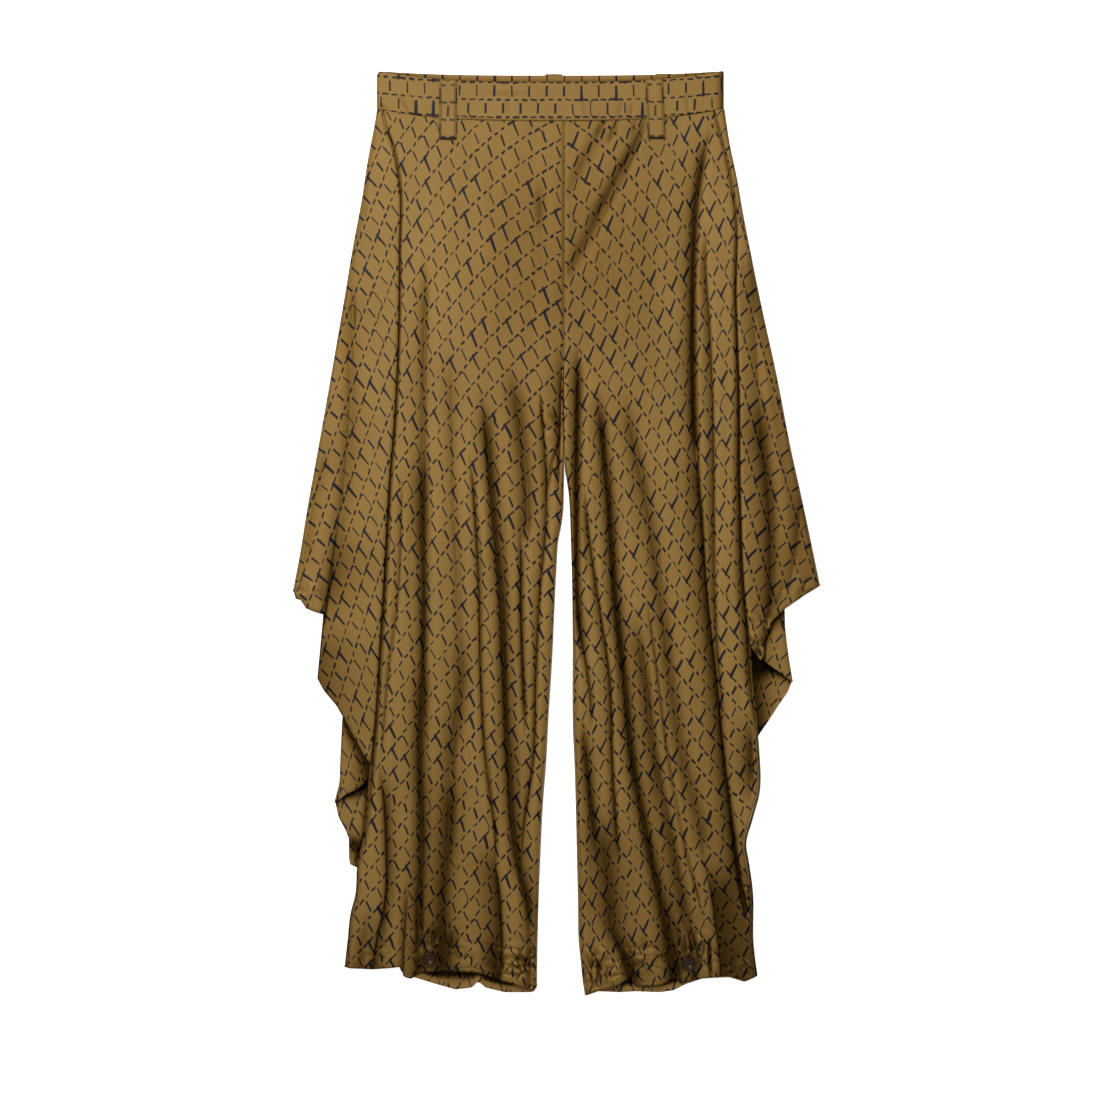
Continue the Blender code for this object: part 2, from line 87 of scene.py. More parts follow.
PAD_MARGIN = 5.0        # how far that pad reaches past the button
LEG_RUN = 930.0         # length of the cloth from the waistband to the hem
DRAPE_RUN = 640.0
HEM_RIM = 3.0           # width of a rolled hem
BACK_THIN = 0.7         # how thin the back leg's cloth lies, as a share of the front one's
LOOPS_END = 72.0        # down to which the loops behind the waist hold the cloth up
LOOPS_EASE = 120.0      # length in which it then comes down
CROTCH = 400.0
CROTCH_EASE = 50.0
FOLD_CLEAR = 2.0        # from the drape's fold in to where the front leg comes to rest
BACK_CLEAR = 2.6        # from that fold in to the back leg's edge
FOLD_RETURN = 0.7       # how far the drape's base layer reaches in past its fold
LEG_LIP = 1.6           # how far the front leg reaches on past its rest
TUCK = 8.0              # how much farther it does under a wide drape
TUCK_ROOM = (6.0, 36.0)         # widths of the drape at which that starts and is full
TUCK_END = (520.0, 580.0)       # down, where it ends
FALL = (0.66, 0.94)     # shares of the drape's width in which its flap comes down a level
FLAP_COLUMN = 0.64      # share of the drape's columns up to the valley beside its flap
FLAP_PART = (0.66, 0.8)         # shares of its width in which the flap's own shade sets in
DRAPE_NARROW = 14.0     # width under which the drape loses its folds
LOWER_START = 560.0     # down, where the drape's lower layers start
LOWER_CLEAR = 0.2       # how much farther than a gap they lie from the leg
FOLD_TURNS = (30, 60, 90, 120, 150)     # angles of the cloth round the drape's outer fold
RIM_TURNS = (40, 90, 140)       # angles of the cloth round its own cut edge

# Stitches: from one to the next, length, thread and how far they lie over the middle of the cloth
HEM_PITCH = 2.6
HEM_STITCH = 1.9
HEM_THREAD = 0.35
HEM_LIFT = 0.6
LOOP_LIFT = 0.55
EDGE_ZIGZAG = (2.4, 1.3, 0.55)  # width, from one to the next, and thread
TACK_ZIGZAG = (2.6, 0.55, 0.8)

SIGN = {"left": -1, "right": 1}

# Long lines of each side as rows of (down, out)
INSEAM = {
    "left": [(45, 0), (252, 0), (400, 0), (450, 0.5), (471, 1), (487, 3), (503, 6.2), (535, 8.4),
             (584, 10.8), (632, 13), (696, 17), (745, 19.6), (777, 22.2), (842, 25.6), (906, 28),
             (971, 29.2), (986, 29.2)],
    "right": [(45, 0), (252, 0), (400, 0.2), (425, 1), (438, 3), (454, 5.2), (471, 6.4), (503, 7.5),
              (535, 8.5), (600, 9.4), (713, 10), (745, 11.5), (793, 12.9), (842, 14), (890, 15.1),
              (938, 16.2), (955, 18), (975, 20), (994, 23)],
}
DRAPE_FOLD = {
    "left": [(40, 197), (54, 194.5), (80, 185.5), (115, 179), (195, 178.8), (282, 179.8), (373, 184),
             (439, 189.5), (559, 196), (620, 200), (703, 205), (745, 209), (789, 212), (821, 215),
             (850, 222), (887, 225), (902, 229), (936, 233), (962, 236)],
    "right": [(40, 162), (60, 168), (95, 177), (146, 186), (245, 187), (336, 190), (460, 191.5),
              (556, 195.5), (604, 200), (655, 203), (705, 208), (730, 210), (777, 210), (803, 203),
              (831, 196), (850, 199), (880, 203), (939, 204), (972, 208)],
}
OUTER_FOLD = {
    "left": [(40, 201), (58, 204), (95, 211), (137, 217.5), (185, 226.5), (245, 236.5), (309, 247.5),
             (358, 256), (406, 264.6), (471, 276.3), (519, 284), (556, 291), (750, 318)],
    "right": [(40, 172.5), (76, 178), (119, 187), (148, 192), (185, 199), (245, 211), (328, 229),
              (408, 244.5), (460, 256), (551, 275), (650, 296)],
}
# Valley between the drape's fold over the leg and its outer flap: rows of (down, share of the width)
FLAP_LINE = {
    "left": [(45, 0.7), (100, 0.83), (191, 0.855), (285, 0.75), (374, 0.634), (460, 0.58), (529, 0.597),
             (574, 0.613), (597, 0.609), (650, 0.622), (750, 0.66)],
    "right": [(45, 0.64), (750, 0.64)],
}
LOWER_FOLD = {
    "left": [(555, 226), (640, 234), (703, 239), (745, 241), (765, 242), (781, 246), (850, 254)],
    "right": [(555, 234), (574, 237), (597, 238), (630, 242), (655, 246), (712, 256)],
}
BACK_INSET = {
    "left": [(45, 0), (990, 0)],
    "right": [(45, 0), (544, 0), (584, 6), (740, 6), (780, 0), (990, 0)],
}

# Hems as rows of (share, down): share 0 is the piece's inner edge, 1 its outer edge
LEG_FRONT_HEM = {
    "left": [(0.0, 982), (0.03, 987), (0.13, 978), (0.21, 974), (0.31, 967), (0.4, 966), (0.5, 966),
             (0.6, 967), (0.63, 970), (0.65, 974), (0.68, 972), (0.71, 966), (0.72, 961), (0.86, 964),
             (1.0, 962)],
    "right": [(0.0, 992), (0.06, 987), (0.13, 984), (0.2, 980), (0.25, 975), (0.28, 974), (0.3, 982),
              (0.42, 981), (0.47, 979), (0.51, 974), (0.54, 973), (0.56, 979), (0.6, 977), (0.7, 973),
              (0.85, 971), (0.94, 976), (1.0, 972)],
}
LEG_BACK_HEM = {
    "left": [(0.0, 984), (0.02, 989), (0.17, 989), (0.27, 984), (0.31, 977), (0.34, 984), (0.43, 986),
             (0.55, 979), (0.66, 972), (0.72, 960), (1.0, 961)],
    "right": [(0.0, 993), (0.08, 988), (0.2, 989), (0.3, 988), (0.44, 989), (0.52, 987), (0.6, 980),
              (0.7, 974), (0.85, 973), (0.94, 978), (1.0, 973)],
}
UPPER_HEM = {
    "left": [(0.0, 745), (0.15, 719), (0.3, 695), (0.4, 680), (0.55, 664), (0.63, 652), (0.65, 583),
             (0.745, 580), (0.84, 576), (0.91, 567), (0.96, 566), (1.0, 558)],
    "right": [(0.0, 612), (0.06, 626), (0.1, 632), (0.15, 627), (0.17, 611), (0.31, 589), (0.49, 576),
              (0.77, 562), (1.0, 552)],
}
LOWER_TOP_HEM = {
    "left": [(0.0, 752), (0.07, 762), (0.36, 770), (0.71, 776), (1.0, 785)],
    "right": [(0.0, 618), (0.18, 627), (0.37, 634), (0.76, 646), (1.0, 655)],
}
LOWER_BASE_HEM = {
    "left": [(0.0, 855), (0.3, 851), (0.38, 838), (0.46, 824), (0.62, 813), (0.85, 800), (1.0, 785)],
    "right": [(0.0, 714), (0.17, 704), (0.57, 681), (0.88, 665), (1.0, 655)],
}

# Troughs between the folds: (share of the depth, half widths on the seam's side and on the other one,
# rows of (down, out))
LEG_TROUGHS = {
    "left": [
        (0.45, 5.0, 7.0, [(204, 146.3), (278, 149.5), (374, 150.6), (471, 151.7), (520, 151)]),
        (0.8, 4.5, 6.5, [(410, 151), (471, 151.7), (568, 150.6), (654, 151.7), (700, 153.5)]),
        (0.9, 8.0, 8.0,
         [(640, 151.3), (740, 154.9), (815, 152.7), (891, 154.9), (939, 156.5), (991, 157)]),
        (0.35, 7.0, 9.0, [(310, 120.5), (374, 119.4), (471, 117.2), (568, 112.9), (654, 110.8)]),
        (0.65, 9.0, 11.0, [(611, 110.8), (654, 110.8), (740, 120.5), (780, 122)]),
        (0.88, 11.0, 14.0, [(750, 121), (815, 123.7), (891, 130.1), (939, 130.1), (990, 128)]),
        (0.65, 3.5, 1.6,
         [(412, 100), (471, 95.7), (568, 90.9), (654, 89.3), (740, 83.9), (815, 74.2), (858, 71)]),
        (0.9, 9.0, 5.0,
         [(350, 87), (374, 85), (471, 76.4), (568, 67.8), (654, 64.5), (740, 60.2), (815, 54.9),
          (858, 48.4), (891, 39.8), (939, 35.5)]),
        (0.7, 11.0, 9.0, [(321, 55.9), (374, 48.4), (471, 39.8), (525, 43)]),
        (0.7, 2.5, 2.5, [(493, 46.3), (568, 46.3), (654, 44.1), (713, 40.9)]),
        (0.6, 1.6, 4.0,
         [(353, 25.8), (407, 21.5), (471, 19.4), (568, 26.9), (654, 30.7), (740, 33.3), (815, 44.1),
          (858, 48.4)]),
        (0.8, 1.6, 6.0, [(301, 3.2), (353, 3.8), (407, 5.4), (455, 7)]),
        (0.3, 2.0, 3.0, [(439, 174.2), (471, 175.3), (568, 179.6), (654, 190.4), (740, 196.8)]),
        (0.85, 9.0, 2.5, [(751, 195.8), (815, 192), (891, 192.5), (939, 202.2), (991, 207.6)]),
        (0.75, 3.5, 4.0, [(869, 168.9), (901, 169.9), (939, 172.1), (966, 173.2)]),
        (0.93, 2.5, 18.0, [(830, 80), (880, 69), (912, 67), (939, 66.1), (971, 68.8), (987, 68.8)]),
        (0.55, 12.0, 9.0, [(900, 208), (939, 216), (985, 220)]),
        (0.5, 13.0, 15.0, [(900, 132), (939, 128), (990, 126)]),
        (0.5, 4.0, 6.0, [(905, 38), (939, 36.6), (990, 38)]),
    ],
    "right": [
        (0.92, 5.0, 5.0, [(299, 15.1), (374, 14), (471, 12.9), (568, 14), (635, 20)]),
        (0.7, 2.0, 2.6, [(585, 15), (611, 19.4), (665, 28), (705, 31)]),
        (0.8, 6.0, 6.0, [(695, 20), (740, 24), (815, 32.3), (858, 38.7)]),
        (0.8, 15.0, 15.0, [(800, 40), (835, 44), (891, 50), (945, 54)]),
        (0.93, 5.0, 11.0, [(895, 48), (924, 53), (944, 61), (957, 67), (973, 72), (992, 73)]),
        (0.75, 7.0, 10.0, [(880, 104), (939, 114), (990, 120)]),
        (0.7, 4.0, 5.0, [(895, 132), (939, 136), (990, 140)]),
        (0.75, 10.0, 4.0, [(690, 200), (740, 200.5), (790, 201.5)]),
        (0.95, 6.0, 7.5,
         [(345, 37.5), (374, 39.5), (471, 48.4), (568, 54.9), (654, 64.5), (740, 73.1), (815, 87.1),
          (891, 103.3), (939, 112.9), (987, 119.4)]),
        (0.7, 5.0, 1.8,
         [(450, 20.4), (525, 30.1), (568, 36.6), (654, 48.9), (740, 51.6), (815, 55.9), (858, 58.1)]),
        (0.6, 10.0, 9.0,
         [(350, 68), (374, 71), (471, 90.4), (568, 104.3), (654, 115.1), (740, 128), (815, 147.4),
          (858, 153.8)]),
        (0.93, 2.5, 60.0, [(848, 152.7), (891, 159.2), (939, 165.6), (987, 169.9)]),
        (0.7, 10.0, 6.0,
         [(589, 77.4), (654, 87.1), (740, 97.9), (815, 112.9), (891, 126.9), (939, 134.4)]),
        (0.4, 1.6, 2.5, [(568, 90.4), (632, 98.7), (756, 115.8), (840, 132), (880, 142.7), (923, 153.8)]),
        (0.98, 6.5, 5.0,
         [(60, 160.5), (87, 151), (118, 145.2), (140, 142), (191, 139.4), (278, 138.2), (374, 139.4),
          (430, 143)]),
        (0.97, 13.0, 3.0,
         [(400, 141.5), (471, 148), (568, 154.8), (654, 164.5), (740, 173.1), (815, 182.3), (891, 190.4)]),
        (0.6, 7.0, 1.6,
         [(170, 152), (191, 151.2), (278, 156), (374, 159.6), (471, 160.8), (568, 162.8), (654, 168.9),
          (697, 173.2)]),
    ],
}
DRAPE_TROUGHS = {
    "left": [
        (0.5, 14.0, 10.0, [(225, 229), (278, 230), (374, 230), (471, 238.8), (529, 248), (575, 255)]),
        (0.65, 30.0, 3.0, [(505, 244), (568, 254.5), (612, 260)]),
        (0.6, 34.0, 30.0, [(590, 262), (750, 260)]),
        (0.3, 7.0, 7.0, [(396, 251.7), (460, 265.7), (559, 284)]),
    ],
    "right": [
        (0.45, 12.0, 10.0, [(191, 200.1), (278, 205.4), (374, 211.5), (420, 215.5)]),
        (0.9, 12.0, 10.0, [(355, 210.3), (374, 211.5), (471, 221), (525, 222.5), (612, 220)]),
        (0.5, 9.0, 9.0, [(439, 256), (503, 250.6), (580, 237.7)]),
    ],
}
# Short creases and dents: (height, half width, points of (out, down))
LEG_CREASES = {
    "left": [
        (-1.2, 6, [(24, 131), (23, 165)]), (-3.4, 1.5, [(22, 384), (12, 382), (1, 380)]),
        (-2.4, 3.5, [(14, 368), (5, 375)]), (1.6, 2.5, [(19, 389), (6, 387)]),
        (-2.6, 1.6, [(2, 389), (13, 422), (19, 456)]), (-2.0, 1.5, [(25, 353), (23, 379)]),
        (-1.4, 1.2, [(17, 402), (18, 450)]), (-1.8, 1.6, [(150, 928), (137, 929), (123, 931)]),
        (-1.1, 1.3, [(147, 924), (147, 936)]), (-1.1, 1.3, [(141, 924), (142, 938)]),
        (-1.1, 1.3, [(135, 925), (136, 938)]), (-1.1, 1.3, [(129, 926), (129, 937)]),
        (-1.5, 9, [(140, 925), (118, 945)]), (-1.4, 1.5, [(153, 938), (149, 950)]),
        (-1.4, 1.5, [(147, 936), (146, 950)]), (-1.4, 1.5, [(139, 936), (142, 950)]),
        (-1.2, 1.5, [(133, 940), (138, 952)]), (-1.0, 1.2, [(88, 936), (68, 941)]),
        (-2.5, 8, [(78, 936), (72, 971)]), (2.0, 3.5, [(159, 896), (158, 971)]),
        (-2.2, 1.7, [(60, 950), (50, 953), (44, 956), (32, 951)]),
        (-2.6, 1.8, [(62, 958), (50, 962), (38, 959)]), (-2.0, 1.5, [(52, 948), (48, 958), (52, 968)]),
        (-1.8, 1.5, [(38, 950), (42, 960), (38, 970)]), (-1.2, 2, [(62, 968), (48, 970), (36, 966)]),
        (1.5, 4, [(56, 963), (42, 965)]), (-3, 3, [(155, 880), (155, 923)]),
    ],
    "right": [
        (-2.0, 2.0, [(45, 52), (35, 68)]), (-2.2, 2.3, [(59, 52), (48, 74)]),
        (-1.8, 1.5, [(79, 50), (73, 66)]), (-2.6, 1.8, [(89, 52), (83, 66), (76, 84)]),
        (-2.0, 4, [(84, 58), (74, 84), (62, 106)]),
        (-2.8, 6.5, [(72, 88), (66, 100), (51, 129), (39, 151), (32, 170), (8, 214)]),
        (-1.3, 7, [(45, 56), (24, 95), (6, 131)]),
        (-1.8, 1.6, [(65, 946), (77, 942), (94, 939), (108, 939)]),
        (-2.8, 1.7, [(32, 948), (37, 961), (37, 971), (34, 981)]),
        (1.6, 5, [(42, 944), (56, 962), (64, 974)]), (-2.0, 1.3, [(28, 968), (30, 980)]),
        (-1.8, 1.4, [(21, 962), (22, 976)]), (-1.5, 1.2, [(20, 977), (26, 977)]),
        (-1.0, 6, [(35, 951), (39, 968)]), (-1.4, 1.3, [(44, 968), (48, 981)]),
        (-2.0, 1.5, [(84, 930), (88, 944), (84, 958)]), (-1.8, 1.6, [(68, 938), (74, 952), (72, 966)]),
        (-1.5, 1.8, [(24, 947), (28, 960)]), (1.2, 2.2, [(66, 946), (78, 943)]),
        (-3.0, 5, [(70, 962), (73, 978)]), (-3.6, 5, [(114, 944), (119, 957), (121, 978)]),
        (-5, 1.5, [(155.5, 932), (155, 948), (157, 972)]), (2.2, 4, [(145, 894), (155, 925)]),
        (-6.0, 2.4, [(181, 806), (185, 826), (187.5, 848), (190, 873), (193, 893), (195, 902)]),
        (-2.0, 1.2, [(184, 820), (191, 821)]), (-3.0, 1.2, [(191, 875), (202, 876)]),
        (-2.4, 1.2, [(193, 888), (202, 891)]), (-2.4, 1.2, [(196, 902), (204, 904)]),
        (-1.2, 1.2, [(194, 838), (197, 850)]), (-1.2, 1.2, [(191, 858), (195, 866)]),
        (-2, 3, [(120, 917), (129, 947)]), (-2.4, 1.5, [(130, 930), (130, 948)]),
        (-2.2, 1.4, [(137, 932), (137, 947)]),
        (-2.6, 1.8, [(138, 928), (143, 945), (144, 958), (142, 968)]), (-1.3, 2, [(113, 948), (124, 955)]),
        (-1.2, 2, [(150, 955), (143, 958)]),
    ],
}

DRAPE_CREASES = {
    "left": [(-1.0, 2.0, [(283, 545), (281, 562)]), (-1.0, 2.5, [(262, 550), (259, 574)])],
    "right": [
        (-1.8, 1.6, [(202, 588), (205, 597), (208, 603)]),
        (-2.6, 1.5, [(210, 592), (217.3, 602), (215, 612)]),
        (-2.4, 1.6, [(221.6, 580), (217, 590), (213, 598)]), (-1.8, 1.3, [(205, 618), (211, 626)]),
        (-1.2, 2.5, [(236, 552), (226, 580)]), (-1.0, 2.5, [(262, 545), (250, 566)]),
        (-4.5, 1.3, [(199, 607), (203, 611), (209, 612), (215, 609)]), (-2.2, 7, [(207, 620), (213, 627)]),
        (2.2, 4.5, [(206, 598), (211, 603)]),
    ],
}
# Painted shadows where the drape's lower folds open a little: (out, down, reach)
HOLE_SHADOWS = {"left": [(227, 829, 8.0), (220, 836, 9.0)], "right": [(200, 642, 13.0), (214, 642, 12.0)]}

# Where the cloth is crumpled: (height, out, down, reach out, reach down)
CRUMPLES = {
    "leg left": [
        (1.5, 137, 934, 22, 15), (1.5, 44, 956, 20, 18), (0.5, 205, 955, 22, 15), (0.5, 90, 950, 30, 12),
    ],
    "leg right": [
        (1.1, 36, 962, 26, 18), (1.2, 88, 952, 22, 15), (1.5, 141, 942, 20, 16), (0.8, 185, 962, 20, 12),
    ],
    "drape left": [(0.9, 275, 558, 18, 9)],
    "drape right": [(2.4, 211, 608, 9, 20), (0.9, 262, 560, 22, 7)],
}

# Creases of the front waistband: (height, half width, points of (across, down))
BAND_CREASES = [
    (-0.8, 1.1, [(-198, 34), (-197.5, 42)]), (-0.8, 1.1, [(-194.5, 35), (-194, 42)]),
    (-0.7, 1.1, [(-191, 36), (-190.5, 42)]), (-0.6, 2.0, [(-176, 26), (-165, 44)]),
    (-0.5, 2.0, [(-163, 30), (-155, 45)]), (-0.5, 2.2, [(-85, 23), (-60, 24), (-36, 24)]),
    (-0.4, 2.5, [(-60, 28), (-58, 48)]), (-0.4, 2.5, [(20, 26), (24, 50)]),
    (-0.5, 2.0, [(62, 34), (58, 51)]), (-0.5, 2.0, [(74, 34), (71, 50)]),
    (-0.4, 2.5, [(132, 24), (134, 44)]),
]

# Height of the cloth over its resting level between the folds, rows of (down, height)
LEG_PUFF = [(40, 0.9), (75, 3.0), (130, 5.0), (250, 6.5), (400, 7.5), (550, 8.5), (800, 9.0), (990, 7.5)]
DRAPE_PUFF = [(40, 0.4), (90, 2.0), (150, 4.2), (250, 6.0), (450, 7.0), (600, 7.0), (750, 4.0)]
SHARP = 4.0             # troughs with a side narrower than this have it leaning over them
LEAN = 0.4              # how far it leans past the bottom
LEAN_ROOM = 0.8         # how much farther such a trough's bottom lies to its side
TROUGH_TIP = 0.1        # how round the bottom of a trough is
TROUGH_SHADE = 1.4      # how closely its painted shade keeps to it
FOLD_FADE = 55.0        # length in which a trough starts and ends
FIRST_DEPTH = 0.2       # share of that length which lies before its first point
OPEN_END = 960.0        # troughs that reach this far down run out over the hem
EDGE_HOLD = 5.0         # width along a piece's edges in which nothing leans
# Width in which the leg goes down under the drape, rows of (down, width)
REST_FALL = {"left": [(40, 4), (300, 4), (480, 6), (600, 7), (750, 7), (800, 4), (990, 4)],
             "right": [(40, 4), (300, 7), (400, 9), (540, 13), (640, 13), (700, 4), (990, 4)]}
DRAPE_LIP = 2.6         # how far the drape's fold bulges over the leg
LIP_WIDTH = 1.5
LIP_FULL = 4.0          # height of the drape at which its fold bulges in full
LOWER_PUFF = 2.6
HEM_CURL = 1.2          # how far the back hem curls up
HEM_END = (0.993, 1.0)          # shares of the back leg's length in which it does
HEM_BARE = (0.991, 0.996)       # shares in which its painted shade ends
SEAM_DIP = 0.9          # how far the cloth dips at the centre front seam
SEAM_WIDTH = 1.5

# Waves between the folds: (height, their lengths out and down, seed)
LEG_SEED = {"left": 3, "right": 4}
LEG_WAVES = ((0.45, (26, 90), 0), (0.2, (11, 34), 10))
FINE_WAVES = ((0.45, (5, 130), 20),)
FINE_START = (300, 520)         # down, where the fine ones grow in
DRAPE_WAVES = ((0.4, (22, 70), 21), (0.15, (9, 25), 22))
LOWER_WAVES = ((0.3, (9, 13), 27),)
FRONT_BAND_WAVES = ((0.2, (24, 17), 31),)
BACK_BAND_WAVES = ((0.15, (20, 15), 33),)
LOOP_WAVES = ((0.12, (7, 9), 35),)
CRUMPLE_RIDGES = ((3.2, (8.5, 7.0), 41),)
CRUMPLE_WAVES = ((0.5, (4.2, 4.6), 42),)
RIPPLE_CELLS = 64       # waves before they repeat
RIPPLE_START = 20.0

# Painted shade, as shares of the colour taken away: at turned edges, the drapes' outer edges, the legs near
# their hems, the flat cloth over the hips, the back leg's hem and the cloth round a button
EDGE_SHADE = 0.55
SIDE_SHADE = {"left": 0.15, "right": 0.55}
LOW_SHADE = {"left": 0.06, "right": 0.16}
FLAT_SHADE = 0.36
BACK_SHADE = 0.22
BUTTON_SHADE = 0.6
EDGE_REACH = 1.8        # how far a turned edge's painted shade reaches, and that of the inside leg
INSEAM_REACH = 1.5
BUTTON_REACH = 3.2
LOW_PART = (650, 960)           # down, where the painted shade of the legs' lower part grows in
FLAT_DOWN = 200.0       # middle of the flat cloth's painted shade, and its reach out and down
FLAT_REACH = (105.0, 130.0)
# Painted shade on the leg where it goes under the drape, and on the drapes' outer flaps, rows of (down,
# share)
REST_SHADE = {"left": [(40, 0.2), (200, 0.3), (480, 0.7), (750, 0.7), (800, 0.5)],
              "right": [(40, 0.3), (200, 0.4), (330, 0.75), (640, 0.75), (700, 0.4), (800, 0.6)]}
FLAP_SHADE = {"left": [(40, 0.0), (600, 0.05)], "right": [(300, 0.12), (420, 0.28), (560, 0.36)]}
CREASE_SHADE = 0.42     # how quickly the painted shade of a crease deepens with its depth
BAND_CREASE_SHADE = 0.63        # the same of one in the waistband
CRUMPLE_SHADE = 0.9     # and of a crumple
HEM_SHADE = 15.0        # how far the painted shadow under a raised hem reaches
SIDE_REACH = {"left": 4.0, "right": 15.0}       # how far the drapes' base has painted shade beside the leg
UNDER_LEG = (5.0, 12.0)         # how far the back leg has painted shadow past the front one's hem
LOWER_DARK = 1.06       # painted shadow of the drape's lower layer under the upper one
BASE_DARK = 1.08        # painted shadow of the base layers and the back leg under what lies on them
# scale of the painted shade of the drapes' base layers
BASE_SHADE_GAIN = 1.09
BASE_NARROW = 0.75      # how much less far the painted shadow under a hem reaches at its outer end, as a share
BESIDE_LEG_SHADE = 0.9        # painted shade of the drape's lower layers beside the leg
TURN_SHADE = 0.7        # painted shade of the waistband's turned end, and along its lower edge
BAND_EDGE_SHADE = 0.3
BAND_EDGE = (0.93, 1.0)         # shares of its height in which that sets in
UNDER_BAND = (-7.0, 0.0)        # how far over the front band's edge the back one has painted shadow
# painted shade along the belt loops' edges
LOOP_EDGE_SHADE = 0.2
PAINTED_SHADE_DARK = 0.9       # share of its colour that cloth loses to painted shade in the depth of a fold
PAINTED_SHADE_TINT = (1.0, 0.86, 0.48)         # warmer colour that the painted shade takes on there
# metallic of the satin under full painted shade, and under none
PAINTED_SHADE_METAL = 0.95
SATIN_METAL = 0.12
NOISE_SPAN = {1: 0.3, 2: 0.7}           # span that most of a noise's values lie in

LEG_COLUMNS = 168
CLOSE = 4.0             # how much closer the mesh's columns stand at a trough
CLOSE_WIDTH = 3.5
CLOSE_START = 10.0      # how far down a trough they stand so in full
TAKE_UP = 1.12          # width of the cloth in the folds for each unit of width laid

# How the print lies: (out, down, angle of the rows, angle of the uprights, step along a row, step across)
PRINT_LAY = {
    "leg left": [(5, 60, 28, 70, 19, 22), (5, 250, 28, 70, 19, 22), (10, 450, 40, 68, 19, 20),
                 (60, 60, 33, 70, 19, 22), (60, 250, 38, 69, 19, 21), (60, 500, 47, 67, 19, 18.5),
                 (60, 750, 50, 67, 19, 18), (60, 960, 50, 67, 19, 18), (120, 70, 42, 67, 19, 21),
                 (120, 300, 50, 65, 19, 19), (120, 550, 52, 65, 19, 18), (120, 800, 50, 67, 19, 18),
                 (120, 960, 50, 67, 19, 18), (180, 80, 58, 58, 19, 19), (175, 300, 60, 58, 19, 18),
                 (190, 550, 56, 62, 19, 18), (200, 800, 50, 64, 19, 18), (215, 950, 48, 66, 19, 18)],
    "leg right": [(5, 60, 36, 71, 19.4, 22), (5, 220, 37, 71, 19.4, 22), (10, 440, 48, 69, 19, 19),
                  (60, 60, 40, 69, 19.4, 22), (60, 200, 43, 69, 19.4, 21), (60, 440, 54, 67, 19, 17.5),
                  (50, 780, 56, 67, 19, 18), (50, 960, 56, 67, 19, 18), (110, 100, 54, 65, 19, 20),
                  (120, 440, 57, 64, 19, 17.5), (110, 780, 47, 67, 19, 18), (120, 960, 47, 67, 19, 18),
                  (170, 120, 68, 54, 19, 20), (170, 440, 60, 59, 19, 18), (190, 780, 45, 63, 19, 18),
                  (200, 950, 45, 64, 19, 18)],
    "drape left": [(185, 100, 62, 52, 19, 19), (200, 300, 64, 52, 19, 19), (215, 450, 65, 52, 19, 19),
                   (215, 700, 62, 55, 19, 19), (230, 300, 72, 40, 19, 19), (270, 450, 78, 30, 20, 19),
                   (280, 560, 79, 28, 20, 19), (240, 650, 68, 48, 19, 19)],
    "drape right": [(190, 120, 70, 48, 19, 19), (195, 300, 71, 42, 20, 19), (200, 500, 70, 44, 20, 19),
                    (220, 300, 74, 37, 20, 19), (230, 450, 75, 36, 20, 19), (260, 540, 76, 34, 20, 19),
                    (225, 680, 66, 48, 19, 19)],
}
LAY_DEGREE = {"leg left": 4, "leg right": 4, "drape left": 2, "drape right": 2}
LAY_UNIT = (100.0, 400.0)       # out and down that count as one in the print's curves
BAND_CELL = (18.7, 18.55)
BAND_START = 7.0        # cells of the print that the band's cut leaves out before it, and the loops' cut
LOOP_START = 0.75
BACK_BAND_SHIFT = (9.0, 4.0)    # how much farther along and up the back band is cut
PRINT_SAG = 7.8         # how much less the band's print sags at its ends than in its middle
LAYER_SHIFT = 0.4       # cells between the print of a drape's upper and base layers
LOOP_INK = 0.85         # share of the ink on the belt loops and on the wrong side of the cloth
WRONG_INK = 0.95
# Own number of each piece, which lets its print wander in its own way
OWN = {"front leg": 1.0, "back leg": 5.0, "drape": 9.0, "band": 13.0, "loop": 17.0}

# Turned button as rows of (radius, share of its height), from near the middle of its face round to its back
BUTTON_PROFILE = [(0.6, 0.66), (1.0, 0.62), (1.4, 0.42), (2.2, 0.4), (3.0, 0.5), (3.9, 0.66), (4.8, 0.8),
                  (5.1, 0.7), (5.5, 0.78), (6.0, 0.98), (6.5, 1.0), (7.1, 0.82), (7.4, 0.58),
                  (7.5, 0.4), (7.3, 0.16), (6.9, 0.02), (6.4, 0.0), (0.6, 0.0)]
BUTTON_SIDES = 56
BUTTONS = {"left": (-144.7, 953.0), "right": (133.4, 958.0)}
FRONT_LOOPS = {"left": (-124.5, 10.5), "right": (96.5, 9.7)}
BACK_LOOPS = {"left": (-130.0, 3.6), "centre": (-11.0, 2.7), "right": (108.0, 2.2)}
LOOP_LEAN = {"left": 0.0, "right": 3.0}
LOOP_FALL = 14.0        # length in which a front loop comes down onto the leg
LOOP_HOLD = 1.0         # how far past the band it starts to
LOOP_TURN = 9.0         # angle that its waves run through from edge to edge, radians

# Studio, metres
FLOOR_HALF = 4.0
KEY_PLACE = (-0.6, 0.7, 1.9)
KEY_AIM = (0.0, 0.1, 0.0)
KEY_SIZE = 1.3
CAMERA_PLACE = (-0.00645, -0.0176)


def linear(code):
    """Linear colour of an sRGB hex code such as "#9b7a3e"."""
    parts = [int(code[i:i + 2], 16) / 255 for i in (1, 3, 5)]
    return [p / 12.92 if p <= 0.04045 else ((p + 0.055) / 1.055) ** 2.4 for p in parts]


class ClothSizes(bpy.types.PropertyGroup):
    """Sizes of the cloth and how it is folded."""
    thickness: bpy.props.FloatProperty(name="Cloth", description="Thickness of the satin", default=0.0009,
                                       min=0.0003, max=0.0011, precision=4, subtype="DISTANCE")
    hem: bpy.props.FloatProperty(name="Rolled hem", description="Thickness of the rolled hems",
                                 default=0.0016, min=0.0009, max=0.002, precision=4, subtype="DISTANCE")
    folds: bpy.props.FloatProperty(name="Folds", description="How high the folds stand, 1 as laid",
                                   default=1.0, min=0.2, max=1.2, subtype="FACTOR")


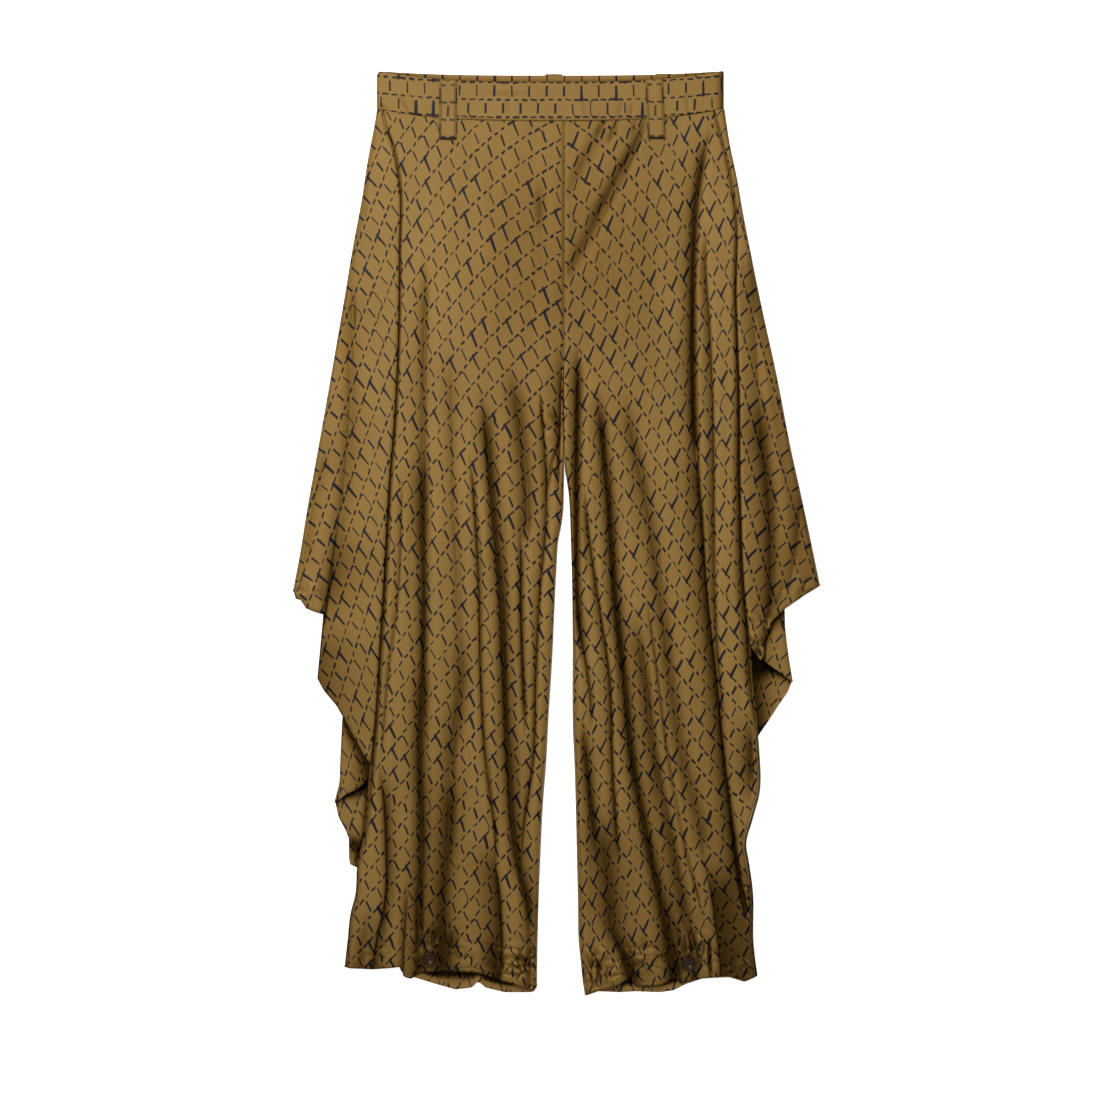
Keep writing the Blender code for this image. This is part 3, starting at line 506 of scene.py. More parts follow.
class Finishes(bpy.types.PropertyGroup):
    """Colours of the satin, its print, the thread and the buttons."""
    satin: bpy.props.FloatVectorProperty(name="Satin", description="Bronze satin, right side", size=3,
                                         default=linear("#74592b"), min=0, max=1, subtype="COLOR")
    wrong: bpy.props.FloatVectorProperty(name="Wrong side", description="Bronze satin, wrong side", size=3,
                                         default=linear("#72572a"), min=0, max=1, subtype="COLOR")
    ink: bpy.props.FloatVectorProperty(name="Ink", description="Print on the satin", size=3,
                                       default=linear("#0d0e18"), min=0, max=1, subtype="COLOR")
    thread: bpy.props.FloatVectorProperty(name="Thread", description="Sewing thread", size=3,
                                          default=linear("#1d150e"), min=0, max=1, subtype="COLOR")
    overlock: bpy.props.FloatVectorProperty(name="Edge thread", description="Thread of the zigzag edges",
                                            size=3, default=linear("#4f3d1f"), min=0, max=1,
                                            subtype="COLOR")
    horn: bpy.props.FloatVectorProperty(name="Horn", description="Polished horn of the buttons", size=3,
                                        default=linear("#180d08"), min=0, max=1, subtype="COLOR")


class StudioLook(bpy.types.PropertyGroup):
    """Light and camera of the studio."""
    key: bpy.props.FloatProperty(name="Key light", description="Power of the large soft light",
                                 default=33.0, min=0, unit="POWER")
    ambient: bpy.props.FloatProperty(name="Ambient", description="Strength of the light from all round",
                                     default=1.1, min=0)
    height: bpy.props.FloatProperty(name="Camera height", description="Camera above the surface",
                                    default=3.287, min=1.0, subtype="DISTANCE")


def ease(t):
    """Smooth step from 0 to 1 as t goes from 0 to 1."""
    t = np.clip(t, 0.0, 1.0)
    return t * t * (3.0 - 2.0 * t)


def between(ends, value):
    """Smooth step from 0 to 1 as a value goes from the first end to the second."""
    return ease((value - ends[0]) / (ends[1] - ends[0]))


def along(rows, place):
    """Value of a smooth curve through rows of (place, value)."""
    at, value = np.array(rows, float).T
    slope = np.gradient(value, at)
    place = np.clip(place, at[0], at[-1])
    i = np.clip(np.searchsorted(at, place, side="right") - 1, 0, len(at) - 2)
    span = at[i + 1] - at[i]
    t = (place - at[i]) / span
    return ((1 + 2 * t) * (1 - t) ** 2 * value[i] + t * (1 - t) ** 2 * span * slope[i]
            + t * t * (3 - 2 * t) * value[i + 1] - t * t * (1 - t) * span * slope[i + 1])


def straight(rows, place):
    """Value of the straight runs through rows of (place, value)."""
    at, value = np.array(rows, float).T
    return np.interp(place, at, value)


def rounded(distance, radius):
    """Height share of a rounded edge at some distance inside it."""
    inside = np.clip(distance / radius, 0.0, 1.0)
    return np.sqrt(1.0 - (1.0 - inside) ** 2)


def shares(count, crowding=0.6):
    """Even shares from 0 to 1, crowded towards both ends."""
    t = np.linspace(0.0, 1.0, count + 1)
    return (1 - crowding) * t + crowding * (1 - np.cos(math.pi * t)) / 2


def ripple(out, down, lengths, seed):
    """Smooth uneven waves from -1 to 1, with waves of some length out and down."""
    values = np.random.default_rng(seed).uniform(-1, 1, (RIPPLE_CELLS, RIPPLE_CELLS))
    x, y = out / lengths[0] + RIPPLE_START, down / lengths[1] + RIPPLE_START
    i, j = np.floor(x).astype(int), np.floor(y).astype(int)
    s, t = ease(x - i), ease(y - j)

    def corner(a, b):
        return values[(i + a) % RIPPLE_CELLS, (j + b) % RIPPLE_CELLS]

    return ((corner(0, 0) * (1 - s) + corner(1, 0) * s) * (1 - t)
            + (corner(0, 1) * (1 - s) + corner(1, 1) * s) * t)


def waves(rows, out, down, seed=0):
    """Sum of waves in rows of (height, lengths, seed)."""
    return sum(height * ripple(out, down, lengths, seed + own) for height, lengths, own in rows)


def fade(distance, reach, power=2):
    """1 up to an edge, and falling to 0 past it."""
    return np.exp(-(np.clip(distance, 0.0, None) / reach) ** power)


def edge_light(inside, shade=EDGE_SHADE, reach=EDGE_REACH):
    """Share of the colour left by painted shade at some distance inside a turned edge."""
    return 1.0 - shade * fade(inside, reach, 1)


def crease_light(height, shade=CREASE_SHADE):
    """Share of the colour left by painted shade in creases of some height, less the deeper they go."""
    return np.exp(shade * np.minimum(height, 0.0))


def waist_share(across):
    """Place along the waistband: 0 in its middle, -1 and 1 at its ends."""
    return (across + (WAIST_LEFT - WAIST_RIGHT) / 2) / ((WAIST_LEFT + WAIST_RIGHT) / 2)


def front_band_top(across):
    """Upper edge of the front waistband, down."""
    return FRONT_SAG * (1.0 - np.abs(waist_share(across)) ** 3)


def back_band_top(across):
    """Upper edge of the back waistband, down."""
    return BACK_SAG * (1.0 - np.abs(waist_share(across)) ** 3)


def band_arch(across):
    """How much higher the front waistband stands than at its ends."""
    return BAND_ARCH * (1.0 - waist_share(across) ** 2)


def waist_lift(down):
    """The belt loops behind the waist hold the cloth one level off the surface."""
    return LEVEL * (1.0 - ease((down - LOOPS_END) / LOOPS_EASE))


def folded(troughs, out, down):
    """Of folds between troughs: share of the height left, lean of the steep sides, and the shade painted in
    them.
    """
    left, lean, lit = np.ones_like(out), np.zeros_like(out), np.ones_like(out)
    for depth, inner_width, outer_width, rows in troughs:
        start, end = rows[0][0], rows[-1][0]
        grown = depth * ease((down - start) / FOLD_FADE + FIRST_DEPTH)
        if end < OPEN_END:
            grown = grown * ease((end - down) / FOLD_FADE + FIRST_DEPTH)
        steep = min(inner_width, outer_width)
        side = 1.0 if outer_width <= inner_width else -1.0
        leans = steep < SHARP and inner_width != outer_width
        offset = out - along(rows, down) - (side * (LEAN + LEAN_ROOM) if leans else 0.0)
        away = np.abs(offset) / np.where(offset < 0, inner_width, outer_width)
        left = left * (1.0 - grown * np.exp(TROUGH_TIP - np.hypot(away, TROUGH_TIP)))
        lit = lit * (1.0 - grown * np.exp(-away ** TROUGH_SHADE))
        if leans:
            over = np.clip(offset * side / steep, 0.0, None)
            lean = lean - side * grown * (steep + LEAN) * over * np.exp(1.0 - over)
    return left, lean, 1.0 - lit


def creased(creases, out, down):
    """Height of short creases and dents, tapered towards their ends."""
    total = np.zeros_like(out)
    for height, width, points in creases:
        nearest, place = np.full_like(out, 1e9), np.zeros_like(out)
        for i, ((x0, y0), (x1, y1)) in enumerate(zip(points, points[1:])):
            run = ((out - x0) * (x1 - x0) + (down - y0) * (y1 - y0)) / ((x1 - x0) ** 2 + (y1 - y0) ** 2)
            run = np.clip(run, 0.0, 1.0)
            away = np.hypot(out - x0 - run * (x1 - x0), down - y0 - run * (y1 - y0))
            place = np.where(away < nearest, (i + run) / (len(points) - 1), place)
            nearest = np.minimum(nearest, away)
        total = total + height * (0.4 + 0.6 * np.sin(math.pi * place)) * np.exp(-(nearest / width) ** 2)
    return total


def crumpled(part, out, down):
    """Height of small crumples in the places of a table."""
    total = np.zeros_like(out)
    ridges = np.abs(waves(CRUMPLE_RIDGES, out, down)) - 1.0 + waves(CRUMPLE_WAVES, out, down)
    for height, at_out, at_down, reach_out, reach_down in CRUMPLES[part]:
        away = ((out - at_out) / reach_out) ** 2 + ((down - at_down) / reach_down) ** 2
        total = total + height * ridges * np.exp(-away)
    return total


def leg_inner(side, down):
    """Inner edge of a leg: the centre front or back seam, then the inside leg."""
    return np.maximum(along(INSEAM[side], down), 0.0) + GAP / 2


def leg_rest(side, down):
    """Where the front leg comes to rest, just inside the drape's fold."""
    return along(DRAPE_FOLD[side], down) - FOLD_CLEAR


def leg_outer(side, down):
    """Outer edge of the front leg, tucked under the drape as far as the drape reaches."""
    room = along(OUTER_FOLD[side], down) - along(DRAPE_FOLD[side], down)
    tucked = between(TUCK_ROOM, room) * (1.0 - between(TUCK_END, down))
    return leg_rest(side, down) + LEG_LIP + TUCK * tucked


def leg_form(side, out, down):
    """The front leg's cloth over its folds: out, height above the surface, and the shade painted on it."""
    free = ease((down - CROTCH) / CROTCH_EASE)
    inside, outside = out - leg_inner(side, down), leg_rest(side, down) - out
    edges = 1.0 - free * (1.0 - rounded(inside, EDGE_ROUND))
    fall = 1.0 - np.clip(outside / straight(REST_FALL[side], down), 0.0, 1.0)
    left, lean, painted_shade = folded(LEG_TROUGHS[side], out, down)
    crease = creased(LEG_CREASES[side], out, down)
    crumple = crumpled(f"leg {side}", out, down)
    puff = along(LEG_PUFF, down) * bpy.context.scene.pants_cloth.folds * left + crease + crumple
    puff = puff + between(FINE_START, down) * waves(FINE_WAVES, out, down, LEG_SEED[side])
    puff = puff + waves(LEG_WAVES, out, down, LEG_SEED[side])
    puff = np.maximum(puff * edges * (1.0 - fall ** 2), 0.0)
    puff = puff - SEAM_DIP * (1.0 - free) * np.exp(-(inside / SEAM_WIDTH) ** 2) * ease(puff)
    height = LEVEL + CLOTH / 2 + waist_lift(down) + puff

    across, button_down = BUTTONS[side]
    from_button = np.hypot(out * SIGN[side] - across, down - button_down)
    pad = fade(from_button, BUTTON_RADIUS + PAD_MARGIN, 6)
    height = height + (BUTTON_PAD - height) * pad
    hold = ease(outside / EDGE_HOLD) * (1.0 - free * (1.0 - ease(inside / EDGE_HOLD))) * (1.0 - pad)

    # Painted shade in the troughs, where the leg goes under the drape, in creases and crumples, near the
    # hem, over the hips, along the inside leg and round the button
    lit = (1.0 - painted_shade) * (1.0 - straight(REST_SHADE[side], down) * fall ** 1.5)
    lit = lit * crease_light(crease) * crease_light(crumple, CRUMPLE_SHADE)
    lit = lit * (1.0 - LOW_SHADE[side] * between(LOW_PART, down))
    flat = np.exp(-((down - FLAT_DOWN) / FLAT_REACH[1]) ** 2 - (out / FLAT_REACH[0]) ** 4)
    lit = lit * (1.0 - FLAT_SHADE * flat) * edge_light(inside, EDGE_SHADE * free, INSEAM_REACH)
    lit = lit * (1.0 - BUTTON_SHADE * fade(from_button - BUTTON_RADIUS, BUTTON_REACH))
    return out + lean * hold, height, 1.0 - lit


def drape_form(side, share, out, down):
    """The drape's upper layer, in the same terms. Its inner fold bulges over the leg."""
    inner, outer = along(DRAPE_FOLD[side], down), along(OUTER_FOLD[side], down)
    edges = rounded(out - inner, DRAPE_ROUND) * rounded(outer - out, OUTER_ROUND)
    left, lean, painted_shade = folded(DRAPE_TROUGHS[side], out, down)
    crumple = crumpled(f"drape {side}", out, down) + creased(DRAPE_CREASES[side], out, down)
    puff = edges * (along(DRAPE_PUFF, down) * left + crumple + waves(DRAPE_WAVES, out, down))
    room = ease((outer - inner) / DRAPE_NARROW)
    lip = (out - inner) / LIP_WIDTH
    bulge = DRAPE_LIP * room * ease(puff / LIP_FULL) * lip * np.exp(1.0 - lip)
    level = LEVEL * (2.0 - between(FALL, share))
    height = level + CLOTH / 2 + waist_lift(down) + np.maximum(puff, 0.0) * room
    hem = straight(UPPER_HEM[side], share)
    # Painted shade in the troughs and crumples, at the outer edge, above the hem and on the outer flap
    lit = (1.0 - painted_shade) * crease_light(crumple) * edge_light(outer - out, SIDE_SHADE[side])
    lit = lit * edge_light(hem - down)
    lit = lit * (1.0 - straight(FLAP_SHADE[side], down) * between(FLAP_PART, share))
    return out - bulge + lean * ease((outer - out) / EDGE_HOLD), height, 1.0 - lit


def under_hem(side, out, down):
    """How near the cloth is under the hem of the drape's upper layers, 1 at the hem: it lowers the lower
    layer there and sets its painted shadow.
    """
    inner, outer = along(DRAPE_FOLD[side], down), along(OUTER_FOLD[side], down)
    hem = straight(UPPER_HEM[side], np.clip((out - inner) / (outer - inner), 0.0, 1.0))
    return fade(down - hem, HEM_SHADE)


def lower_form(side, out, down):
    """The drape's lower layer, in the same terms. It stands up where it comes out of the upper one."""
    inner, outer = leg_outer(side, down) + GAP, along(LOWER_FOLD[side], down)
    under = under_hem(side, out, down)
    rise = LOWER_PUFF * rounded(outer - out, LOWER_ROUND) * rounded(out - inner, LOWER_ROUND)
    rise = (1.0 - under) * (rise + waves(LOWER_WAVES, out, down))
    # Painted shadow under the upper layer's hem, and painted shade beside the leg and at the outer edge
    lit = (1.0 - LOWER_DARK * under) * (1.0 - BESIDE_LEG_SHADE * fade(out - inner, HEM_SHADE))
    return out, LEVEL + CLOTH / 2 + rise, 1.0 - lit * edge_light(outer - out)


def crowded(side, share, down):
    """Shares of the leg's width drawn together at its troughs, row by row."""
    even = np.linspace(0.0, 1.0, 600)
    result = share.copy()
    for i in range(len(share)):
        level = np.full_like(even, down[i].mean())
        inner, rest = leg_inner(side, level), leg_rest(side, level)
        out = inner + even * (rest - inner)
        close = np.ones_like(even)
        for *_, rows in LEG_TROUGHS[side]:
            near = fade(np.abs(out - along(rows, level)), CLOSE_WIDTH, 1)
            start = rows[0][0]
            close = close + CLOSE * near * between((start - FOLD_FADE, start + CLOSE_START), level)
        run = np.concatenate([[0.0], np.cumsum(close[1:] + close[:-1])])
        result[i] = np.where(share[i] <= 1.0, np.interp(share[i], run / run[-1], even), share[i])
    return result


def place(side, out, down, height):
    """A point of the garment in millimetres, in the part's own frame."""
    x = SEAM_X + SIGN[side] * out
    y = LENGTH / 2 - down
    return np.stack([x, y + 0 * x, height + 0 * x], axis=-1)


def print_curves(lay):
    """Coefficients of the two smooth print coordinates whose rows and uprights follow a lay."""
    out, down, row, upright, row_step, up_step = np.array(PRINT_LAY[lay], float).T
    row, upright = np.radians(row), np.radians(upright)
    steps = np.array([[row_step * np.cos(row), -up_step * np.cos(upright)],
                      [row_step * np.sin(row), up_step * np.sin(upright)]])
    slopes = np.linalg.inv(steps.transpose(2, 0, 1))
    x, y = out * TAKE_UP / LAY_UNIT[0], down / LAY_UNIT[1]
    powers = lay_powers(lay)
    by_out = [i * x ** max(i - 1, 0) * y ** j / LAY_UNIT[0] for i, j in powers]
    by_down = [j * x ** i * y ** max(j - 1, 0) / LAY_UNIT[1] for i, j in powers]
    terms = np.concatenate([np.array(by_out).T, np.array(by_down).T])
    wanted = np.concatenate([slopes[:, :, 0], slopes[:, :, 1]])
    return np.linalg.lstsq(terms, wanted, rcond=None)[0]


def lay_powers(lay):
    """Powers of out and down in the print's curves."""
    degree = LAY_DEGREE[lay]
    return [(i, j) for i in range(min(degree, 3) + 1) for j in range(degree + 1 - i) if i + j]


def printed(use, side, out, down, piece):
    """Print coordinates: steps along the rows, from row to row, and the piece's own number."""
    x, y = out / LAY_UNIT[0], down / LAY_UNIT[1]
    lay = f"{use} {side}"
    terms = np.stack([x ** i * y ** j for i, j in lay_powers(lay)], axis=-1)
    steps = terms @ print_curves(lay) * (1.0, SIGN[side])
    return np.concatenate([steps, np.full(x.shape + (1,), OWN[piece] + SIGN[side])], axis=2)


def across_folds(out, height):
    """Out measured along the cloth over its folds, brought to the same ends."""
    step = np.hypot(np.diff(out, axis=1), np.diff(height, axis=1))
    run = np.concatenate([np.zeros((len(out), 1)), np.cumsum(step, axis=1)], axis=1)
    return TAKE_UP * (out[:, :1] + run / run[:, -1:] * (out[:, -1:] - out[:, :1]))


def add_mesh(name, verts, faces, materials, kinds=None, uvs=None, painted_shade=None):
    """Smooth mesh object from points in millimetres. Its faces' kinds name their materials."""
    mesh = bpy.data.meshes.new(name)
    mesh.from_pydata(np.asarray(verts) * MM, [], np.asarray(faces).tolist())
    mesh.shade_smooth()
    for material in materials:
        mesh.materials.append(material)
    if kinds is not None:
        mesh.polygons.foreach_set("material_index", np.asarray(kinds, np.int32))
    if uvs is not None:
        lay = mesh.attributes.new("print", "FLOAT_VECTOR", "POINT")
        lay.data.foreach_set("vector", np.asarray(uvs, np.float32).ravel())
    if painted_shade is not None:
        shade = mesh.attributes.new("painted_shade", "FLOAT", "POINT")
        shade.data.foreach_set("value", np.asarray(painted_shade, np.float32))
    piece = bpy.data.objects.new(name, mesh)
    bpy.context.scene.collection.objects.link(piece)
    return piece


def shell(name, materials, middle, thickness, uv, painted_shade=None):
    """Thin closed cloth round the surface through a grid of points, with rounded rims.

    The grid's rows run down the garment and its columns to the right; the right side of the cloth is the
    one that faces up where they do.
    """
    normal = np.cross(np.gradient(middle, axis=0), np.gradient(middle, axis=1))
    normal /= np.linalg.norm(normal, axis=2, keepdims=True)
    half = normal * (thickness / 2)[..., None]
    rows, columns = middle.shape[:2]
    number = np.arange(rows * columns).reshape(rows, columns)
    a, b, d, e = number[:-1, :-1], number[:-1, 1:], number[1:, :-1], number[1:, 1:]
    upper = np.stack([a, d, e, b], axis=-1).reshape(-1, 4)
    lower = np.stack([a, b, e, d], axis=-1).reshape(-1, 4) + rows * columns
    ring = np.concatenate([number[0, :-1], number[:-1, -1], number[-1, :0:-1], number[:0:-1, 0]])
    inside = np.concatenate([number[1, :-1], number[:-1, -2], number[-2, :0:-1], number[:0:-1, 1]])
    flat, halves = middle.reshape(-1, 3), half.reshape(-1, 3)
    rim = halves[ring]
    outward = flat[ring] - flat[inside]
    outward -= (outward * rim).sum(1, keepdims=True) * rim / (rim ** 2).sum(1, keepdims=True)
    outward /= np.linalg.norm(outward, axis=1, keepdims=True)
    outward *= np.linalg.norm(rim, axis=1, keepdims=True)
    turned = [flat[ring] + rim * math.cos(turn) + outward * math.sin(turn) for turn in np.radians(RIM_TURNS)]
    verts = np.concatenate([flat + halves, flat - halves] + turned)
    rings = [ring] + [2 * rows * columns + k * len(ring) + np.arange(len(ring)) for k in range(len(turned))]
    rings.append(ring + rows * columns)
    faces = [upper, lower]
    for near, far in zip(rings, rings[1:]):
        faces.append(np.stack([near, np.roll(near, -1), np.roll(far, -1), far], axis=-1))
    kinds = np.concatenate([np.full(len(f), k == 1) for k, f in enumerate(faces)])

    def on_verts(grid):
        return np.concatenate([grid] * 2 + [grid[ring]] * len(turned))

    painted_shade = np.zeros(rows * columns) if painted_shade is None else painted_shade.ravel()
    return add_mesh(name, verts, np.concatenate(faces), materials, kinds, on_verts(uv.reshape(-1, 3)),
                    on_verts(painted_shade))


def to_right(side, *grids):
    """Grids with their columns turned so that they run to the right."""
    return [grid if side == "right" else grid[:, ::-1] for grid in grids]


def settle(start_at, hem_down, out_at, share, step):
    """Out and down of a grid whose columns run from a curved upper edge to the hem."""
    down = hem_down * step
    for _ in range(4):
        start = start_at(out_at(share, down))
        down = start + step * (hem_down - start)
    return out_at(share, down), down


def hem_thickness(step, length):
    """Thickness of cloth whose lower edge is a rolled hem."""
    cloth = bpy.context.scene.pants_cloth
    roll = ease((step - 1.0) * length / HEM_RIM + 1.0)
    return (cloth.thickness + (cloth.hem - cloth.thickness) * roll) / MM


def below_band(band_top, side, out):
    """Down at which the cloth starts under a waistband."""
    return band_top(SIGN[side] * out) + BAND_HEIGHT + GAP


def dress(piece, node):
    """A finished sheet of cloth in place of its node."""
    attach(piece, "root")
    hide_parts(node)
    return piece


def make_leg_front(side):
    """Front leg: a field of long folds between the inside seam and the drape's fold."""
    def out_at(share, down):
        inner = leg_inner(side, down)
        rest = leg_rest(side, down)
        tuck = leg_outer(side, down) - rest
        return np.where(share <= 1.0, inner + share * (rest - inner), rest + (share - 1.0) * tuck)

    # Columns past 1 lie under the drape, and rows stand closer near the waist and the hem
    columns = np.append(shares(LEG_COLUMNS, 0.35), [1.35, 1.7, 2.0])
    steps = np.concatenate([np.linspace(0, 0.1, 32)[:-1], np.linspace(0.1, 0.88, 150)[:-1],
                            np.linspace(0.88, 1.0, 76)])
    share, step = np.meshgrid(columns, steps)
    share = crowded(side, share, BAND_HEIGHT + (LENGTH - 2 * GAP - BAND_HEIGHT) * step)
    hem = straight(LEG_FRONT_HEM[side], share)
    out, down = settle(lambda out: below_band(front_band_top, side, out), hem, out_at, share, step)
    out, height, painted_shade = leg_form(side, out, down)
    uv = printed("leg", side, across_folds(out, height), down, "front leg")
    # Painted shade along the rolled hem
    painted_shade = 1.0 - (1.0 - painted_shade) * edge_light((1.0 - step) * LEG_RUN)
    grids = to_right(side, place(side, out, down, height), hem_thickness(step, LEG_RUN), uv, painted_shade)
    piece = shell(f"front_leg_{side}", satins("leg"), *grids)
    sew_hem(f"leg_hem_stitches_{side}", grids[0][-4])
    return dress(piece, f"leg_front_{side}")


def make_leg_back(side):
    """Back leg: it lies flat on the surface under the front leg."""
    def out_at(share, down):
        inner = leg_inner(side, down)
        outer = along(DRAPE_FOLD[side], down) - BACK_CLEAR - straight(BACK_INSET[side], down)
        return inner + share * (outer - inner)

    # Rows stand closer near the hem, which shows below the front leg
    steps = np.append(np.linspace(0.0, 0.96, 90), np.linspace(0.962, 1.0, 24))
    share, step = np.meshgrid(np.linspace(0.0, 1.0, 64), steps)
    hem = straight(LEG_BACK_HEM[side], share)
    out, down = settle(lambda out: below_band(back_band_top, side, out), hem, out_at, share, step)
    height = CLOTH / 2 + waist_lift(down) + HEM_CURL * between(HEM_END, step)
    uv = printed("leg", side, TAKE_UP * out, down, "back leg")
    inner = leg_inner(side, down)
    front_hem = straight(LEG_FRONT_HEM[side], (out - inner) / (leg_rest(side, down) - inner))
    # Painted shadow past the front leg's hem, and painted shade over the whole back leg
    painted_shade = BASE_DARK * (1.0 - between(HEM_BARE, step)) * (1.0 - between(UNDER_LEG, down - front_hem))
    painted_shade = 1.0 - (1.0 - painted_shade) * (1.0 - BACK_SHADE)
    thick = hem_thickness(step, LEG_RUN) * BACK_THIN
    grids = to_right(side, place(side, out, down, height), thick, uv, painted_shade)
    piece = shell(f"back_leg_{side}", satins("leg")[::-1], *grids)
    return dress(piece, f"leg_back_{side}")


def folded_drape(name, side, folds, flap_line, hems, rows, start_at, form, node):
    """Two layers of a drape, joined along their outer fold."""
    knots = [row[0] for row in hems[0]]
    top_share = np.unique(np.concatenate([shares(60, 0.5)] + [knots]))
    base_share = np.linspace(1.0, 0.0, 16)
    hem_down = np.concatenate([straight(hems[0], top_share), straight(hems[1], base_share)])
    share, step = np.meshgrid(np.concatenate([top_share, base_share]), np.linspace(0.0, 1.0, rows + 1))
    upper = np.arange(share.shape[1]) < len(top_share)

    def out_at(share, down):
        inner = along(folds[0], down) - np.where(upper, 0.0, FOLD_RETURN)
        outer = along(folds[1], down) - LEVEL / 2 - CLOTH / 2
        flap = straight(flap_line, down)
        bent = np.where(share < FLAP_COLUMN, flap * share / FLAP_COLUMN,
                        1.0 - (1.0 - flap) * (1.0 - share) / (1.0 - FLAP_COLUMN))
        return inner + np.where(upper, bent, share) * (outer - inner)

    out, down = settle(start_at, hem_down[None, :] + 0 * share, out_at, share, step)
    formed, high, painted_shade = form(share, out, down)
    # Painted shadow of the base layers under the upper layer's hem, beside the leg and in the holes
    under = fade(down - straight(hems[0], share), HEM_SHADE * (1.0 - BASE_NARROW * share), 4)
    beside = fade(out - along(folds[0], down), SIDE_REACH[side])
    lit = (1.0 - BASE_DARK * under) * (1.0 - BESIDE_LEG_SHADE * beside)
    for at_out, at_down, reach in HOLE_SHADOWS[side]:
        lit = lit * (1.0 - fade(np.hypot(out - at_out, down - at_down), reach))
    painted_shade = np.where(upper, painted_shade, BASE_SHADE_GAIN * (1.0 - lit))
    thick = hem_thickness(step, DRAPE_RUN) + 0 * out
    base = np.maximum(CLOTH, thick) / 2 + waist_lift(down)
    out, high = np.where(upper, formed, out), np.where(upper, high, base)
    middle = place(side, out, down, high)
    uv = printed("drape", side, TAKE_UP * out, down, "drape")
    uv[..., :2] += np.where(upper, 0.0, LAYER_SHIFT)[:, None]

    first, last = len(top_share) - 1, len(top_share)
    halfway = (middle[:, first] + middle[:, last]) / 2
    fold = np.stack([halfway + np.array([SIGN[side] * math.sin(turn), 0.0, math.cos(turn)]) * LEVEL / 2
                     for turn in np.radians(FOLD_TURNS)], axis=1)

    def with_fold(grid):
        columns = np.repeat(grid[:, first:last], fold.shape[1], axis=1)
        return np.concatenate([grid[:, :last], columns, grid[:, last:]], axis=1)

    middle = np.concatenate([middle[:, :last], fold, middle[:, last:]], axis=1)
    grids = to_right(side, middle, with_fold(thick), with_fold(uv), with_fold(painted_shade))
    piece = shell(name, satins("drape"), *grids)
    hem = grids[0][-2, :last] if side == "right" else grids[0][-2, -last:]
    sew_hem(f"{name}_hem_stitches", hem)
    return dress(piece, node)


def make_drape(side):
    """Godet let into the side seam: wide upper layers over narrower lower ones."""
    tip = UPPER_HEM[side][-1][1]
    folded_drape(f"drape_upper_{side}", side, (DRAPE_FOLD[side], OUTER_FOLD[side]), FLAP_LINE[side],
                 (UPPER_HEM[side], [(0.0, tip), (1.0, tip)]), 200,
                 lambda out: below_band(front_band_top, side, out),
                 lambda share, out, down: drape_form(side, share, out, down),
                 f"drape_{side}_upper")
    beside_leg = [(down, leg_outer(side, np.float64(down)) + GAP + LOWER_CLEAR)
                  for down, _ in DRAPE_FOLD[side]]
    folded_drape(f"drape_lower_{side}", side, (beside_leg, LOWER_FOLD[side]), FLAP_LINE["right"],
                 (LOWER_TOP_HEM[side], LOWER_BASE_HEM[side]), 80,
                 lambda out: LOWER_START + 0 * out,
                 lambda share, out, down: lower_form(side, out, down),
                 f"drape_{side}_lower")


def band_print(across, down, shift=(0.0, 0.0)):
    """Print coordinates of the waistband, square to it."""
    sag = FRONT_SAG - PRINT_SAG * np.abs(waist_share(across + shift[0])) ** 3
    along_band = (across + shift[0]) / BAND_CELL[0] + BAND_START
    return np.stack([along_band, (down - shift[1] - sag) / BAND_CELL[1], OWN["band"] + 0 * across], axis=-1)


def make_waistband():
    """Front band over back band. The ends of the front band turn down to the side seams."""
    low = LEVEL + BAND_PLY / 2
    across, step = np.meshgrid(-WAIST_LEFT + shares(220, 0.6) * (WAIST_LEFT + WAIST_RIGHT),
                               np.linspace(0.0, 1.0, 30))
    ends = np.minimum(across + WAIST_LEFT, WAIST_RIGHT - across)
    corner = BAND_CORNER * (1.0 - rounded(across + WAIST_LEFT, BAND_CORNER))
    down = front_band_top(across) + step * BAND_HEIGHT + corner * (1.0 - step) ** 4
    crease = creased(BAND_CREASES, across, down)
    height = low + (BAND_PLY + GAP + band_arch(across)) * rounded(ends, BAND_ROUND)
    height = height + (waves(FRONT_BAND_WAVES, across, down) + crease) * ease(ends / BAND_ROUND)
    # Painted shade at the right end turned from the light, along the lower edge and in the creases
    turned = TURN_SHADE * (1.0 - ease((WAIST_RIGHT - across) / BAND_TURN))
    painted_shade = turned + BAND_EDGE_SHADE * between(BAND_EDGE, step)
    painted_shade = 1.0 - (1.0 - painted_shade) * crease_light(crease, BAND_CREASE_SHADE)
    piece = shell("front_waistband", satins("waistband"), place("right", across, down, height),
                  np.full(across.shape, BAND_THICK), band_print(across, down), painted_shade)
    dress(piece, "waistband_front")

    across, step = np.meshgrid(np.linspace(-WAIST_LEFT + BAND_INSET, WAIST_RIGHT - BAND_INSET, 160),
                               np.linspace(0.0, 1.0, 24))
    down = back_band_top(across) + step * BAND_HEIGHT
    # Painted shadow where the front band lies over the back one
    painted_shade = TURN_SHADE * between(UNDER_BAND, down - front_band_top(across))
    height = low + waves(BACK_BAND_WAVES, across, down)
    piece = shell("back_waistband", satins("waistband")[:1] * 2, place("right", across, down, height),
                  np.full(across.shape, BAND_THICK), band_print(across, down, BACK_BAND_SHIFT), painted_shade)
    dress(piece, "waistband_back")


